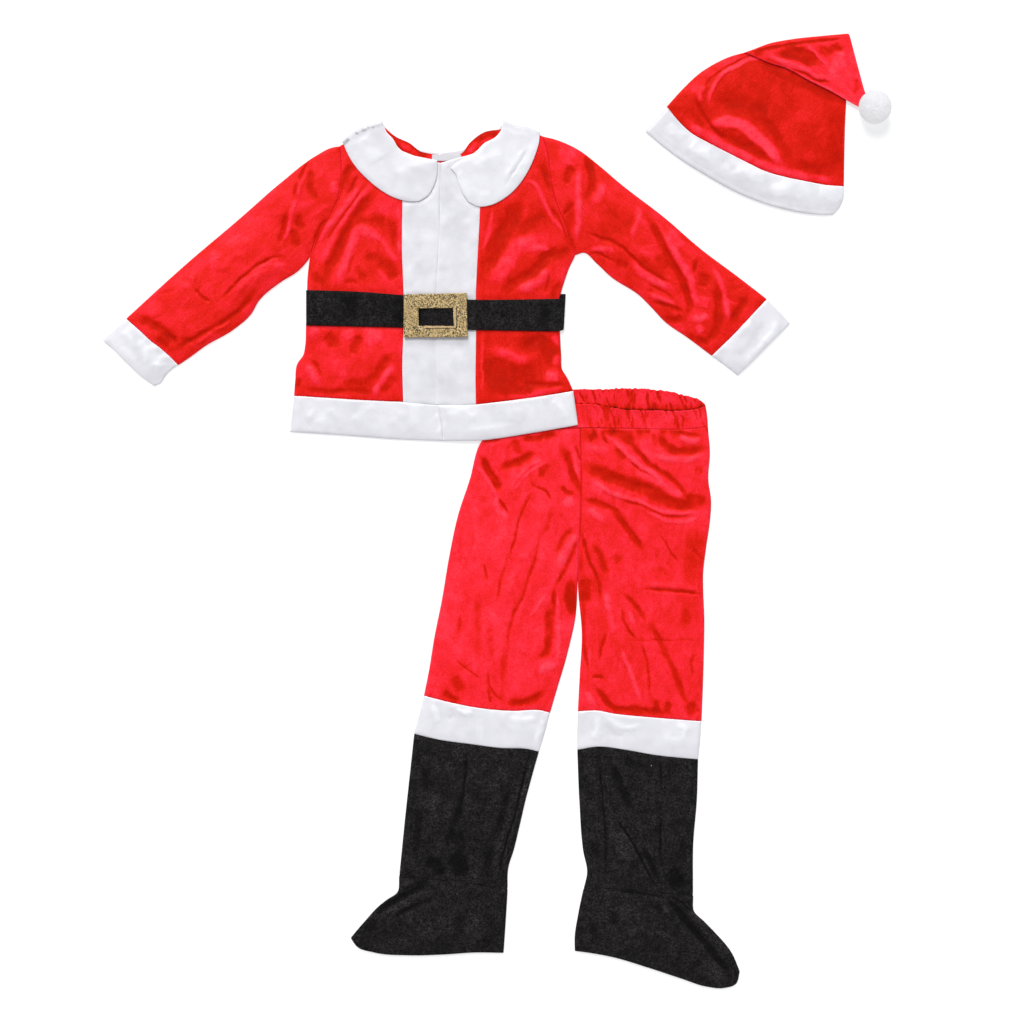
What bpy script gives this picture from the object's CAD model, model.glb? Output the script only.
"""A child's Santa suit laid out flat: jacket, belt, trousers with boot covers, and a hat.

Tables are in millimetres, on the pattern's own grid; the pieces are placed in the frame's metres.
"Right" and "left" are the wearer's.
"""

import math
from collections import namedtuple

import bmesh
import bpy
import numpy as np
from mathutils import Matrix, Vector
from mathutils.bvhtree import BVHTree


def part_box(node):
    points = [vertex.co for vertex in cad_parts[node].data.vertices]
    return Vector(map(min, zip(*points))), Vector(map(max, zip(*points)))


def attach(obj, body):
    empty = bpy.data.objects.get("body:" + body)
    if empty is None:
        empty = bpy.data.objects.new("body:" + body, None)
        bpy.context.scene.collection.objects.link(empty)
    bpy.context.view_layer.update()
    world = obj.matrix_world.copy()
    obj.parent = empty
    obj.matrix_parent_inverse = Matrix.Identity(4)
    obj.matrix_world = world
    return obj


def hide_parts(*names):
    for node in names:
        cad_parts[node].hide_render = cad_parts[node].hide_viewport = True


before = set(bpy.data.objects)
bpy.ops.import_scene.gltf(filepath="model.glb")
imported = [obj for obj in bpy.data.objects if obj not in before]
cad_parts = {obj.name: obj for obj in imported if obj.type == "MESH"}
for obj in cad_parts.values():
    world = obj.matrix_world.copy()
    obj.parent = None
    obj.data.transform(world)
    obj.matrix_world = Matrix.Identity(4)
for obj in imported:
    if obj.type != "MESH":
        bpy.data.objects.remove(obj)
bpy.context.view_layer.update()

bl_info = {
    "name": "Santa suit",
    "version": (1, 0, 0),
    "blender": (4, 5, 0),
    "location": "View3D > Sidebar > Santa suit",
    "description": "Builds a laid-out child's Santa suit from its cut lines, folds and cloths",
    "category": "Add Mesh",
}

MM = 0.001
RED, WHITE, BLACK = "red_velour", "white_satin", "black_felt"
POMPOM_ON_GRID = (473.0, 506.0)      # the pompom's centre on the pattern's grid
POMPOM_MOVE = Vector((-0.0020, -0.0022, 0.0))   # it leans against the tip of the hat
POMPOM_STRETCH = (1.0, 1.04, 0.99, 1.0)
SAMPLES = 300                        # points kept on each side of a panel
SEAM_GAP = 0.02                      # how far an edge stays back from its seam line
UNDER_GAP = 1.4                      # the same for the free sides of the under layers
TUBE_SIDE = 1.5                      # the same for the folded sides of the flattened tubes

# Seam and edge lines of the flat suit: x, y, x, y and so on.
LINES = {
    "armhole_right": (-195.5, 458, -194, 440.5, -194, 420.5, -200.5, 386.5, -215.5, 358, -228,
        338, -233, 319),
    "side_right": (-233, 319, -235.5, 300.5, -236.5, 285.5, -236.5, 278, -238, 233, -239, 209,
        -241.5, 196.5, -249, 185.5, -251.5, 165.5, -253, 145.5),
    "armhole_left": (57, 470.5, 63.5, 449, 67, 425.5, 71, 400.5, 86, 358, 98.5, 320.5),
    "side_left": (98.5, 320.5, 91, 305.5, 86, 291.5, 79.5, 269, 79.5, 223, 81, 195.5, 82, 179,
        88.5, 168, 96, 151.5),
    "neck_back": (-139, 480.5, -128, 471, -107, 460.5, -95.5, 451.5, -80.5, 448, -61.5, 446,
        -44.5, 448, -33, 462, -15.5, 475, 7, 479),
    "shoulder_right": (-195.5, 458, -139, 480.5),
    "shoulder_left": (7, 479, 57, 470.5),
    "neck_front_right": (-139, 480.5, -131.5, 464, -118, 451.5),
    "neck_placket_right": (-118, 451.5, -95.5, 443, -70, 436.5),
    "neck_placket_left": (-70, 436.5, -48, 443, -28, 449, -20.5, 454),
    "neck_front_left": (-20.5, 454, -5.5, 463, 7, 479),
    "placket_right_edge": (-118, 451.5, -117.5, 390.5, -118, 328, -116, 273, -116, 229, -117.5,
        184, -116.5, 138),
    "centre": (-70, 436.5, -70.5, 390.5, -71.5, 350.5, -75, 275.5, -75.5, 216.5, -74.5, 165.5,
        -73.5, 134),
    "placket_left_edge": (-20.5, 454, -20.5, 380.5, -23, 328, -25.5, 275.5, -25.5, 216.5, -26,
        165.5, -25.5, 134.5),
    "hem_seam_right": (-253, 145.5, -220.5, 143.5, -173, 140.5, -116.5, 138),
    "hem_seam_mid_right": (-116.5, 138, -95.5, 135.5, -73.5, 134),
    "hem_seam_mid_left": (-73.5, 134, -50.5, 134, -25.5, 134.5),
    "hem_seam_left": (-25.5, 134.5, 4.5, 138, 44.5, 143, 96, 151.5),
    "hem_centre": (-73.5, 134, -71, 123, -68.5, 111.5, -66.5, 89),
    "hem_side_right": (-253, 145.5, -255.5, 123, -258, 100.5),
    "hem_side_left": (96, 151.5, 99, 130.5, 102, 109),
    "hem_right": (-258, 100.5, -195.5, 96.5, -126.5, 91.5, -66.5, 89),
    "hem_left": (-66.5, 89, -24, 89.5, 44.5, 99, 102, 109),
    "sleeve_right_top": (-195.5, 458, -205.5, 456.5, -225.5, 446.5, -269, 413, -316.5, 371.5,
        -388, 310.5, -463, 242),
    "sleeve_right_bottom": (-233, 319, -240.5, 309, -249, 300.5, -269, 288, -298, 263, -306.5,
        248, -329, 228, -364, 208, -383, 194, -398, 184),
    "cuff_right_seam": (-463, 242, -445.5, 226.5, -435, 216.5, -419, 204, -410.5, 196.5, -398,
        184),
    "cuff_right_end": (-492.5, 214.5, -480.5, 205.5, -463, 188, -445.5, 171.5, -427.5, 158),
    "cuff_right_upper": (-463, 242, -478, 228, -492.5, 214.5),
    "cuff_right_lower": (-398, 184, -405.5, 179, -414, 170.5, -419.5, 162, -427.5, 158),
    "sleeve_left_top": (57, 470.5, 72, 467, 103.5, 453, 129.5, 433, 154.5, 411.5, 211, 368, 256,
        329, 299.5, 296.5, 338.5, 266.5),
    "sleeve_left_bottom": (98.5, 320.5, 109.5, 324, 126, 310.5, 143.5, 294, 179.5, 270.5, 194.5,
        255.5, 211, 238, 239.5, 218, 269.5, 195.5),
    "cuff_left_seam": (338.5, 266.5, 319.5, 246.5, 298.5, 224, 269.5, 195.5),
    "cuff_left_end": (367.5, 236.5, 343.5, 213, 317, 186, 301.5, 171),
    "cuff_left_upper": (338.5, 266.5, 353.5, 251.5, 367.5, 236.5),
    "cuff_left_lower": (269.5, 195.5, 279.5, 188, 291, 179.5, 301.5, 171),
    "collar_right_end": (-74, 439.5, -74, 424, -78, 408.5, -85.5, 395.5, -96.5, 388.5),
    "collar_right_neck": (-74, 439.5, -94.5, 443.5, -112.5, 448, -122.5, 455.5, -129, 466,
        -137.5, 475.5, -141.5, 485.5),
    "collar_right_outer": (-96.5, 388.5, -107, 388, -127.5, 393, -143, 401.5, -160.5, 415.5,
        -176, 432, -187.5, 451.5, -191, 460.5),
    "collar_right_fold": (-141.5, 485.5, -158, 481, -173.5, 474, -191, 460.5),
    "collar_left_end": (-57.5, 429.5, -51, 423, -47, 411, -43.5, 401, -35.5, 388),
    "collar_left_neck": (-57.5, 429.5, -51.5, 435.5, -41, 441.5, -25.5, 450.5, -15.5, 460.5, 0,
        469.5, 6.5, 478.5, 7.5, 486),
    "collar_left_outer": (-35.5, 388, -23, 382, -7.5, 383.5, 7.5, 390.5, 23, 403, 38, 423.5,
        48.5, 446.5, 53.5, 464.5, 54, 472),
    "collar_left_fold": (7.5, 486, 21, 481, 38.5, 477.5, 54, 472),
    "waist_back_top": (-5.5, 134, 42, 146.5, 96.5, 153.5, 134.5, 154, 168, 155, 206, 152.5,
        236.5, 146, 253.5, 141, 261.5, 134.5),
    "waist_back_seam": (-6.5, 106.5, 54.5, 123, 126, 126.5, 198.5, 121.5, 262.5, 110.5),
    "waist_front_top": (-6, 131, 48.5, 134, 98, 135.5, 124.5, 134.5, 150, 129.5, 198.5, 127,
        224, 126.5, 247, 128.5, 261.5, 133),
    "waist_front_seam": (-8, 104, 54.5, 104.5, 104.5, 105.5, 160, 105, 198.5, 104, 236.5, 104,
        264.5, 107),
    "waist_side_right": (-6, 131, -8, 104),
    "waist_side_left": (261.5, 133, 263.5, 121.5, 264.5, 107),
    "leg_right_outer": (-8, 104, -20.5, 85.5, -33, 41.5, -48, -4.5, -59, -56, -68, -109.5, -78,
        -159.5, -84, -197, -90.5, -229.5),
    "leg_right_inner": (104.5, 105, 106, 56.5, 106, 21.5, 104.5, -24.5, 101.5, -88.5, 98.5,
        -133.5, 92, -163.5, 86, -187, 77, -217, 67, -251),
    "leg_left_inner": (104.5, 105, 106, 56.5, 106, 21.5, 104.5, -24.5, 102, -88.5, 107, -157,
        104.5, -202, 102, -249),
    "leg_left_outer": (264.5, 107, 267, 74, 265, 41.5, 268.5, 14, 267, -11, 262, -46, 258.5,
        -78.5, 258.5, -92, 260, -134.5, 259.5, -172, 258.5, -209.5, 256.5, -261.5),
    "knee_right_top": (-90.5, -229.5, -61.5, -237, -24, -244.5, 19.5, -248.5, 58.5, -248.5, 67,
        -251),
    "knee_right_bottom": (-103, -277, -70.5, -284.5, -34, -289.5, 4.5, -294.5, 42, -296.5, 53.5,
        -299.5),
    "knee_right_outer": (-90.5, -229.5, -96.5, -253.5, -103, -277),
    "knee_right_inner": (67, -251, 61, -274.5, 53.5, -299.5),
    "knee_left_top": (102, -249, 112, -248.5, 123.5, -248, 147, -252, 198.5, -257, 256.5,
        -261.5),
    "knee_left_bottom": (101, -297, 127, -293, 162, -297, 198.5, -303.5, 252.5, -309),
    "knee_left_inner": (102, -249, 101, -273.5, 101, -297),
    "knee_left_outer": (256.5, -261.5, 255, -284.5, 252.5, -309),
    "shaft_right_outer": (-103, -277, -108.5, -328.5, -114, -379.5, -118, -419.5, -121.5,
        -454.5),
    "shaft_right_inner": (53.5, -299.5, 44.5, -331, 37, -358.5, 29.5, -391, 22, -422, 15,
        -444.5, 14, -471.5),
    "ankle_right": (-121.5, -454.5, -81.5, -458.5, -45.5, -461.5, -14, -467, 14, -471.5),
    "shaft_left_inner": (101, -297, 103.5, -358.5, 108.5, -423.5, 113.5, -451, 109, -471.5),
    "shaft_left_outer": (252.5, -309, 251, -359.5, 246.5, -412, 246, -479.5),
    "ankle_left": (109, -471.5, 144.5, -471, 187, -474.5, 208.5, -477, 246, -479.5),
    "foot_right_instep": (-121.5, -454.5, -124, -476, -136.5, -484.5, -148, -493.5, -163,
        -509.5, -174, -522, -182.5, -532),
    "foot_right_heel": (14, -471.5, 12, -509.5, 9.5, -551),
    "sole_right": (-182.5, -532, -174, -543.5, -153, -550.5, -109, -554, -66.5, -553, -26.5,
        -550.5, 9.5, -551),
    "foot_left_heel": (109, -471.5, 102, -503.5, 97.5, -532, 97.5, -548.5),
    "foot_left_instep": (246, -479.5, 247, -499.5, 259.5, -512, 273.5, -526, 294.5, -551, 304.5,
        -573.5),
    "sole_left": (97.5, -548.5, 117, -551, 144.5, -556, 187, -568.5, 231, -583, 262, -593,
        284.5, -595, 299.5, -590, 304.5, -573.5),
    "brim_seam": (213, 507, 227.5, 489, 243, 474.5, 265.5, 461.5, 292, 448, 314.5, 436.5, 336.5,
        426, 357, 420, 390.5, 413, 412.5, 409, 434.5, 407.5),
    "brim_lower": (186, 476.5, 207, 459, 234, 439, 263, 421, 301, 400, 345.5, 383, 390.5, 373.5,
        408, 372, 421.5, 372.5),
    "brim_left": (213, 507, 199.5, 491.5, 186, 476.5),
    "brim_right": (434.5, 407.5, 434, 391.5, 428.5, 380.5, 421.5, 372.5),
    "hat_crown": (213, 507, 232, 528, 256.5, 550.5, 274.5, 561.5, 292, 569.5, 311, 574.5),
    "hat_side": (434.5, 407.5, 435, 436.5, 436, 481.5, 437.5, 514, 439.5, 553, 441.5, 595),
    "hat_fold": (311, 574.5, 328, 579.5, 374.5, 588.5, 408.5, 592, 441.5, 595),
    "flap_lower": (311, 574.5, 326, 568, 341, 561.5, 361.5, 555, 390.5, 539.5, 419.5, 525, 437,
        515, 451.5, 507, 457.5, 504.5),
    "flap_right": (441.5, 595, 448.5, 568.5, 455, 544, 460, 526, 462.5, 518.5),
    "flap_end": (457.5, 504.5, 458.5, 512, 462.5, 518.5),
}

# From the pattern's grid to the frame: the pompom's centre is the same point in both.
_low, _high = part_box("hat_pompom")
SHIFT = ((_low[0] + _high[0]) / 2 - POMPOM_ON_GRID[0] * MM,
         (_low[1] + _high[1]) / 2 - POMPOM_ON_GRID[1] * MM)

# Folds and creases: width, height, tone, then the line's x, y, x, y and so on. A height above 0
# lifts a ridge and one below 0 sinks a crease. The tone is how the cloth lies there: dark below 0,
# light above 0.
JACKET_RIGHT = (
    (3, 0.9, 1.1, -167, 413, -190, 381, -212, 353, -223, 333),
    (6, 1.3, 0.9, -157, 409, -176, 384, -222, 304),
    (1.8, -0.6, -0.8, -163, 409, -207, 346, -215, 331),
    (2.6, -0.8, -1.2, -193, 424, -196, 397, -205, 376, -215, 361, -230, 325),
    (5, -0.6, -1.3, -178, 434, -189, 422, -193, 410),
    (2.4, -0.4, -0.8, -172, 423, -182, 404, -188, 396),
    (8, -1.2, -1.1, -150, 405, -192, 345, -203, 318, -212, 297, -214, 280),
    (8, -0.5, -0.9, -178, 361, -160, 363, -140, 363, -129, 352, -125, 329),
    (9, 0.4, 0.5, -152, 384, -128, 381),
    (5, 1.2, 1.1, -199, 279, -190, 310, -180, 333, -174, 352, -164, 354, -141, 339),
    (4, 0.4, 0.8, -172, 350, -142, 341), (3, 0.5, 0.6, -142, 338, -131, 321, -122, 311),
    (5, -0.5, -0.9, -168, 318, -150, 319, -138, 311),
    (8, -0.8, -1.1, -146, 314, -133, 301, -126, 289), (4.5, -0.3, -0.7, -175, 308, -163, 290),
    (3, -0.4, -0.9, -190, 289, -172, 288), (4, 0.4, 0.5, -148, 310, -141, 297, -130, 284),
    (2.5, 0.3, 0.8, -122, 386, -121, 345, -122, 318),
    (5, -0.4, -0.9, -230, 300, -221, 290, -212, 284), (6, 0.4, 0.8, -234, 219, -221, 228),
    (4.5, 1, 1.3, -237, 184, -222, 160), (2, -0.6, -1.1, -230, 191, -223, 180, -219, 169),
    (4, -0.5, -1.3, -249, 168, -249, 156), (8, -0.6, -0.9, -213, 222, -204, 214, -202, 205),
    (6, 0.6, 0.9, -187, 226, -182, 217), (6, -0.7, -1, -170, 222, -181, 196),
    (8, 0.6, 0.7, -165, 210, -153, 221, -143, 213),
    (7, -0.8, -1.1, -128, 196, -138, 189, -148, 175, -157, 163, -170, 161),
    (4, 0.9, 1.1, -127, 184, -138, 172, -154, 143),
    (5, -0.5, -0.8, -127, 172, -135, 159, -145, 148),
    (3.5, -0.8, -1.3, -240, 157, -225, 152, -180, 152, -150, 150),
    (5, -0.4, -0.8, -193, 158, -177, 162, -160, 155), (8, 0.4, 0.5, -196, 192, -195, 168),
)
JACKET_LEFT = (
    (11, -1.2, -1.2, 33, 393, 0, 331, -15, 291),
    (8, -0.5, -0.9, 24, 350, 42, 361, 58, 369, 69, 361),
    (2.5, 0.3, 0.8, -5, 379, -9, 350, -16, 325),
    (2.8, 1.2, 1.3, 33, 413, 44, 412, 51, 406, 58, 390, 66, 374, 78, 358, 88, 343),
    (2.5, -0.6, -1, 66, 384, 76, 370, 98, 325), (4.5, -0.6, -1.5, 56, 437, 70, 399),
    (10, 1.1, 0.9, -14, 278, 15, 315, 28, 331, 45, 337, 62, 346),
    (3.5, 0.5, 0.8, 42, 329, 54, 331, 68, 327),
    (7, -1.3, -1.6, 96, 332, 82, 325, 65, 319, 50, 305, 20, 285, 4, 271),
    (1.8, -0.3, -0.8, 80, 334, 44, 315), (6, 1.1, 1.2, 67, 307, 60, 295, 47, 285, 26, 277),
    (8, 0.4, 0.4, 86, 304, 79, 288), (2, -0.4, -0.8, 67, 301, 60, 273),
    (4, -0.5, -1.3, 80, 286, 73, 276, 70, 267), (2.2, 0.3, 0.7, -17, 221, -18, 145),
    (7, 0.9, 0.9, -9, 204, 20, 195, 32, 190, 46, 196),
    (8, -0.9, -1.5, 25, 212, 40, 209, 55, 215, 66, 206, 70, 189), (3.5, 0.4, 0.9, 72, 222, 77, 206),
    (4.5, 0.5, 0.9, 77, 197, 73, 183), (17, -0.7, -2.5, -14, 170, 15, 166, 50, 165),
    (9, -0.3, -1.7, -17, 182, 0, 183, 14, 181), (6, -0.3, -1.2, 62, 212, 66, 182),
    (8, -0.3, -1.2, 24, 219, 45, 212, 64, 214), (6, 1, 1.8, 62, 169, 78, 169),
    (3, -0.8, -1.6, 35, 160, 63, 159, 88, 160), (4, 0.4, 0.8, 10, 143, 40, 146, 70, 152, 92, 154),
)
PLACKET_FOLDS = (
    (9, 0.5, 0.2, -108, 375, -103, 315, -107, 278), (9, 0.6, 0.2, -43, 373, -33, 345, -38, 303),
    (6, 0.5, 0.2, -62, 413, -48, 383, -55, 350), (9, 0.5, 0.2, -105, 209, -95, 175, -108, 150),
    (9, 0.5, 0.2, -55, 203, -40, 175, -48, 150),
)
HEM_FOLDS = (
    (8, 1, 0.6, -239, 125, -213, 118, -198, 129), (6, 0.8, 0.5, -180, 110, -165, 125, -148, 134),
    (10, 0.7, 0.4, -139, 115, -115, 124, -90, 114), (3.5, 1, 0.6, -74, 125, -69, 110, -72, 94),
    (7, 0.8, 0.5, -62, 122, -40, 125, -23, 114), (8, 0.8, 0.5, 5, 127, 30, 124, 48, 133),
    (6, 0.9, 0.5, 65, 138, 80, 129, 87, 114), (4, 0.5, 0.3, -38, 100, 30, 110),
)
SLEEVE_RIGHT = (
    (2.4, -1.2, -1.4, -264, 320, -280, 317, -312, 298, -325, 285, -347, 264),
    (2.2, -1, -1.3, -354, 263, -362, 266, -378, 281),
    (6, 1.2, 0.15, -262, 308, -290, 300, -314, 284, -333, 262),
    (1.6, 0.3, 0.6, -254, 307, -270, 309, -290, 307, -300, 303),
    (3, -0.9, -1.1, -298, 275, -328, 247, -378, 217, -392, 209, -403, 205),
    (4, -0.3, -0.7, -297, 280, -324, 254), (2.5, 0.6, 0.2, -330, 240, -378, 208),
    (5.5, -1.1, -1.7, -449, 246, -405, 216, -399, 208), (4.5, -0.5, -1.1, -425, 217, -408, 207),
    (3, -0.3, -0.9, -396, 218, -378, 213), (4, 0.3, 0.6, -391, 278, -383, 286, -379, 297),
    (6, 0.3, 0.5, -352, 326, -353, 300), (9, 0.3, 0.3, -432, 262, -425, 244),
    (2.5, -0.8, -1.1, -235, 441, -242, 426, -247, 412),
    (3, -0.5, -0.8, -249, 413, -251, 398, -250, 385),
    (4.2, -0.8, -1.1, -231, 429, -233, 412, -230, 400, -223, 388),
    (3, 1, 0.6, -238, 430, -246, 406, -251, 385, -258, 365, -262, 345, -268, 330, -264, 322),
    (4, 0.6, 1.1, -203, 413, -202, 398), (4.2, -1, -1.2, -261, 373, -268, 345, -270, 332),
    (4.2, -0.8, -1.2, -246, 373, -247, 362, -240, 351), (4.6, -0.9, -1.4, -255, 355, -247, 329),
    (3, -0.9, -1.6, -195, 396, -200, 381, -207, 370, -215, 362, -231, 327),
    (4, -0.3, -1.6, -200, 457, -192, 453), (14, 0.8, 0, -293, 345, -352, 300),
    (14, 0.6, 0, -370, 303, -420, 258),
)
SLEEVE_LEFT = (
    (3.4, 1.4, 1.4, 105, 435, 103, 410, 103, 370, 100, 338),
    (5, -0.9, -1.2, 97, 434, 90, 422, 86, 408), (2, -0.8, -1.5, 97, 388, 90, 378, 82, 372),
    (6, -0.3, -0.8, 92, 394, 92, 368, 95, 350), (4.5, -0.9, -1.2, 111, 446, 120, 414, 110, 386),
    (4.5, 0.8, 1.2, 135, 412, 131, 402, 121, 385), (9, 0.4, 0.6, 80, 455, 92, 446, 85, 432),
    (2.6, -0.7, -1.5, 66, 421, 68, 405, 77, 377, 85, 364, 99, 324),
    (20, 0, -0.4, 125, 369, 172, 360), (3, 0.6, 0.9, 176, 382, 180, 372, 173, 356, 170, 342),
    (2.4, -1.1, -1.6, 110, 352, 120, 348, 130, 342, 145, 338, 170, 320, 182, 308, 195, 298,
     223, 286), (5.5, -0.4, -0.9, 176, 320, 192, 306, 212, 294),
    (3.5, 0.8, 0.9, 114, 326, 130, 328, 142, 328, 150, 321),
    (2, -0.5, -1.3, 112, 323, 125, 324, 138, 318, 150, 311), (5, -0.5, -1.1, 150, 312, 165, 308),
    (4.6, 1.1, 1.3, 170, 309, 185, 297, 219, 279), (2, -0.4, -0.8, 190, 285, 222, 269),
    (3.5, 0.8, 1.1, 190, 273, 227, 257), (3, -0.8, -1.4, 197, 262, 210, 260, 233, 249),
    (4, -0.7, -1.4, 210, 243, 222, 240, 234, 243),
    (4.6, -1.4, -1.6, 186, 373, 195, 359, 222, 308, 232, 292, 238, 275, 242, 262, 240, 250,
     235, 241), (8, -0.3, -1, 203, 322, 214, 303),
    (4.4, 1.2, 1, 203, 361, 212, 340, 235, 305, 243, 290, 246, 275, 257, 248),
    (9, 0.4, 0.5, 214, 352, 231, 328), (2.5, -0.6, -1.2, 253, 318, 248, 308, 246, 299),
    (8, -0.6, -1.1, 262, 297, 257, 281), (5, -1.1, -1.6, 274, 286, 277, 266, 273, 227, 265, 212),
    (6, 0.6, 0.7, 262, 268, 258, 255), (4, 0.7, 1.6, 245, 243, 255, 242, 266, 246),
    (4, 0.5, 1.3, 252, 233, 257, 224), (4, -0.6, -1.6, 239, 223, 250, 216, 262, 214, 271, 222),
    (3.4, 1.3, 1.1, 270, 307, 279, 290, 289, 250, 290, 234), (12, -0.3, -0.6, 296, 292, 302, 278),
    (4.5, -0.8, -1.4, 314, 271, 293, 236),
)
CUFF_FOLDS_RIGHT = (
    (4, 0.9, 0.8, -468, 228, -448, 200), (4, 1, 0.9, -448, 215, -438, 200, -438, 183),
    (3, -0.7, -0.4, -453, 210, -448, 195, -450, 183),
    (4, 0.9, 0.8, -430, 200, -423, 188, -425, 173), (3, 0.8, 0.7, -433, 185, -418, 183, -408, 185),
    (6, 0.5, 0.5, -473, 208, -460, 198, -450, 183),
)
CUFF_FOLDS_LEFT = (
    (7, -1, -0.5, 335, 243, 326, 220, 310, 200, 292, 190),
    (5, 1, 0.9, 352, 243, 345, 223, 327, 203, 310, 185),
    (4, 0.9, 0.8, 320, 240, 310, 228, 300, 220),
)
HAT_FOLDS = (
    (2.5, 1.5, 1.9, 335, 566, 318, 566, 300, 558, 283, 548, 267, 520, 266, 504),
    (8, 0, 0.8, 318, 571, 285, 560, 255, 540, 233, 514),
    (1.8, -0.6, -0.9, 318, 571, 300, 563, 280, 551, 266, 540, 259, 527),
    (3, 0.6, 1.2, 261, 533, 254, 522, 256, 511),
    (2.4, -1.1, -1.3, 247, 520, 262, 492, 275, 475, 295, 462),
    (6, 0.6, 1.5, 228, 499, 245, 483, 270, 467, 360, 425, 431, 414),
    (9, -0.7, -0.9, 274, 515, 323, 506, 340, 491),
    (6.5, 2, 2.6, 262, 484, 298, 487, 332, 462, 359, 433),
    (5, -1.1, -1.2, 322, 495, 345, 480, 355, 462, 373, 435),
    (7, -1, -0.9, 278, 477, 300, 462, 325, 452, 344, 437),
    (5, -0.4, -1.2, 323, 562, 343, 554, 365, 543, 436, 511),
    (10, 0, -0.7, 428, 502, 424, 470, 421, 440, 417, 425),
    (8, -0.4, -0.8, 371, 437, 395, 430, 424, 428), (3, -0.2, -0.8, 244, 503, 260, 477),
    (12, 0, 0.25, 380, 505, 395, 480),
)
FLAP_FOLDS = (
    (8, -0.8, -2.4, 352, 572, 372, 573, 403, 561),
    (5, -0.5, -1.5, 401, 581, 415, 575, 425, 581, 427, 571), (2.2, 0.8, 1, 388, 584, 413, 557),
    (2.5, -0.4, -2.4, 313, 575, 370, 585, 436, 593), (4.5, -0.3, -1.8, 322, 573, 333, 577),
    (2.2, -0.6, -1.2, 360, 554, 382, 549, 400, 540, 418, 537),
    (3.5, 0.9, 0.8, 345, 577, 347, 566, 365, 561, 385, 552, 403, 543, 422, 541),
    (8, 0.7, 0.8, 431, 577, 427, 558, 416, 544), (3, -0.2, -0.9, 335, 568, 366, 552),
    (3, 0.3, 0.5, 372, 547, 400, 533, 430, 521), (4, -0.6, -0.8, 452, 543, 450, 528, 446, 518),
)
BRIM_FOLDS = (
    (6, 1.1, 1.5, 215, 488, 225, 475, 240, 468), (7.5, 1.3, 1.9, 245, 463, 255, 453, 270, 449),
    (7, 1.3, 1.8, 302, 433, 320, 423, 340, 420), (4, -0.6, -0.4, 282, 443, 300, 425),
    (8.5, 1.4, 1.9, 337, 403, 395, 404), (3, 0.6, 0.7, 357, 415, 380, 408),
    (8, 0.9, 1.6, 402, 403, 420, 398, 430, 388),
    (7, -0.4, -0.5, 205, 473, 242, 443, 355, 390, 412, 380),
)
TROUSERS_RIGHT = (
    (4.6, -1.3, -1.6, -20, 70, 7, 24), (2.4, 1, 1.2, -23, 57, -3, 28, 1, 18),
    (2.2, -0.5, -1.1, 3, 18, 15, -2), (3, 0.6, 1.5, 0, 20, -1, 9, 3, -1, 14, -5),
    (5, -1, -1.6, 4, 55, 28, 63, 48, 76), (5, -0.3, -0.9, 23, 92, 28, 71),
    (2.4, -0.3, -1, -17, 88, 8, 91), (4, -0.5, -1.4, 30, 92, 50, 92, 68, 97, 78, 96),
    (1.6, 0.7, 0.9, 17, 28, 27, 44, 42, 58, 61, 67),
    (1.6, 0.6, 0.8, 21, 25, 33, 41, 48, 54, 63, 63), (4, -0.4, -0.9, 66, 60, 56, 49, 55, 41),
    (1.8, -0.6, -1.2, 42, 38, 50, 32, 60, 28, 68, 14),
    (1.6, -0.9, -1.1, 45, 27, 38, 14, 30, -6, 20, -45, 13, -62),
    (2, -0.6, -0.7, 14, -60, 7, -80, 0, -116), (3, -0.3, -0.5, 69, 2, 66, -12, 61, -27),
    (2.2, -0.7, -0.8, 56, -15, 50, -55, 42, -78, 35, -100, 18, -140, 12, -198),
    (6, 0.7, 0.2, 40, -40, 28, -70, 15, -100, 6, -140), (4.5, 0.6, 2.2, 84, 12, 97, 14),
    (4.4, -1.2, -1.5, 86, 84, 97, 42, 108, 21), (4, -0.2, -0.7, 82, 82, 85, 60),
    (3.2, -0.4, -1.3, 80, 33, 88, 26, 98, 22), (2, 0.3, 0.9, 95, 82, 103, 43),
    (2, -0.3, -1.2, 99, 83, 105, 64), (4, 1.2, 1.7, 102, -26, 94, -37, 77, -68),
    (3, -0.5, -0.9, 98, -20, 88, -27, 75, -56), (2.6, -0.6, -1.2, 103, -33, 96, -50, 72, -98),
    (6.5, -0.5, -2, 96, -84, 92, -100, 96, -118, 98, -132), (3, -0.8, -1.5, 72, -97, 71, -135),
    (5, -1.1, -1.4, 65, -113, 65, -160, 64, -174, 47, -184),
    (2.5, 1.2, 1.5, 76, -100, 77, -150, 78, -170, 76, -186),
    (4.5, 0.9, 1.9, 75, -190, 65, -193, 53, -200), (1.8, 0.4, 0.9, 61, -104, 42, -131),
    (1.8, -0.5, -1.1, -16, -64, -11, -86), (4, -0.3, -0.5, -22, -100, -23, -192),
    (4, -0.2, -0.4, -7, -135, -8, -192), (4, -0.3, -0.7, 11, -172, 7, -216),
    (1.2, -0.4, -0.9, -55, -180, -35, -197, -18, -210),
    (1.6, -0.6, -1.1, -11, -195, -9, -215, 1, -230, 10, -238),
    (4.5, -0.7, -1.5, -66, -222, -58, -231, -46, -236), (7, -0.3, -0.7, -52, -205, -45, -225),
    (2, -0.3, -0.9, -10, -219, -6, -240), (5, -0.9, -1.6, 12, -239, 48, -233, 60, -222),
    (2.5, -0.3, -0.6, -45, -128, -47, -156), (6, -0.2, -0.5, -15, 20, -18, -2),
    (9, 0.5, 0, -62, -115, -65, -160, -73, -205),
)
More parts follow.
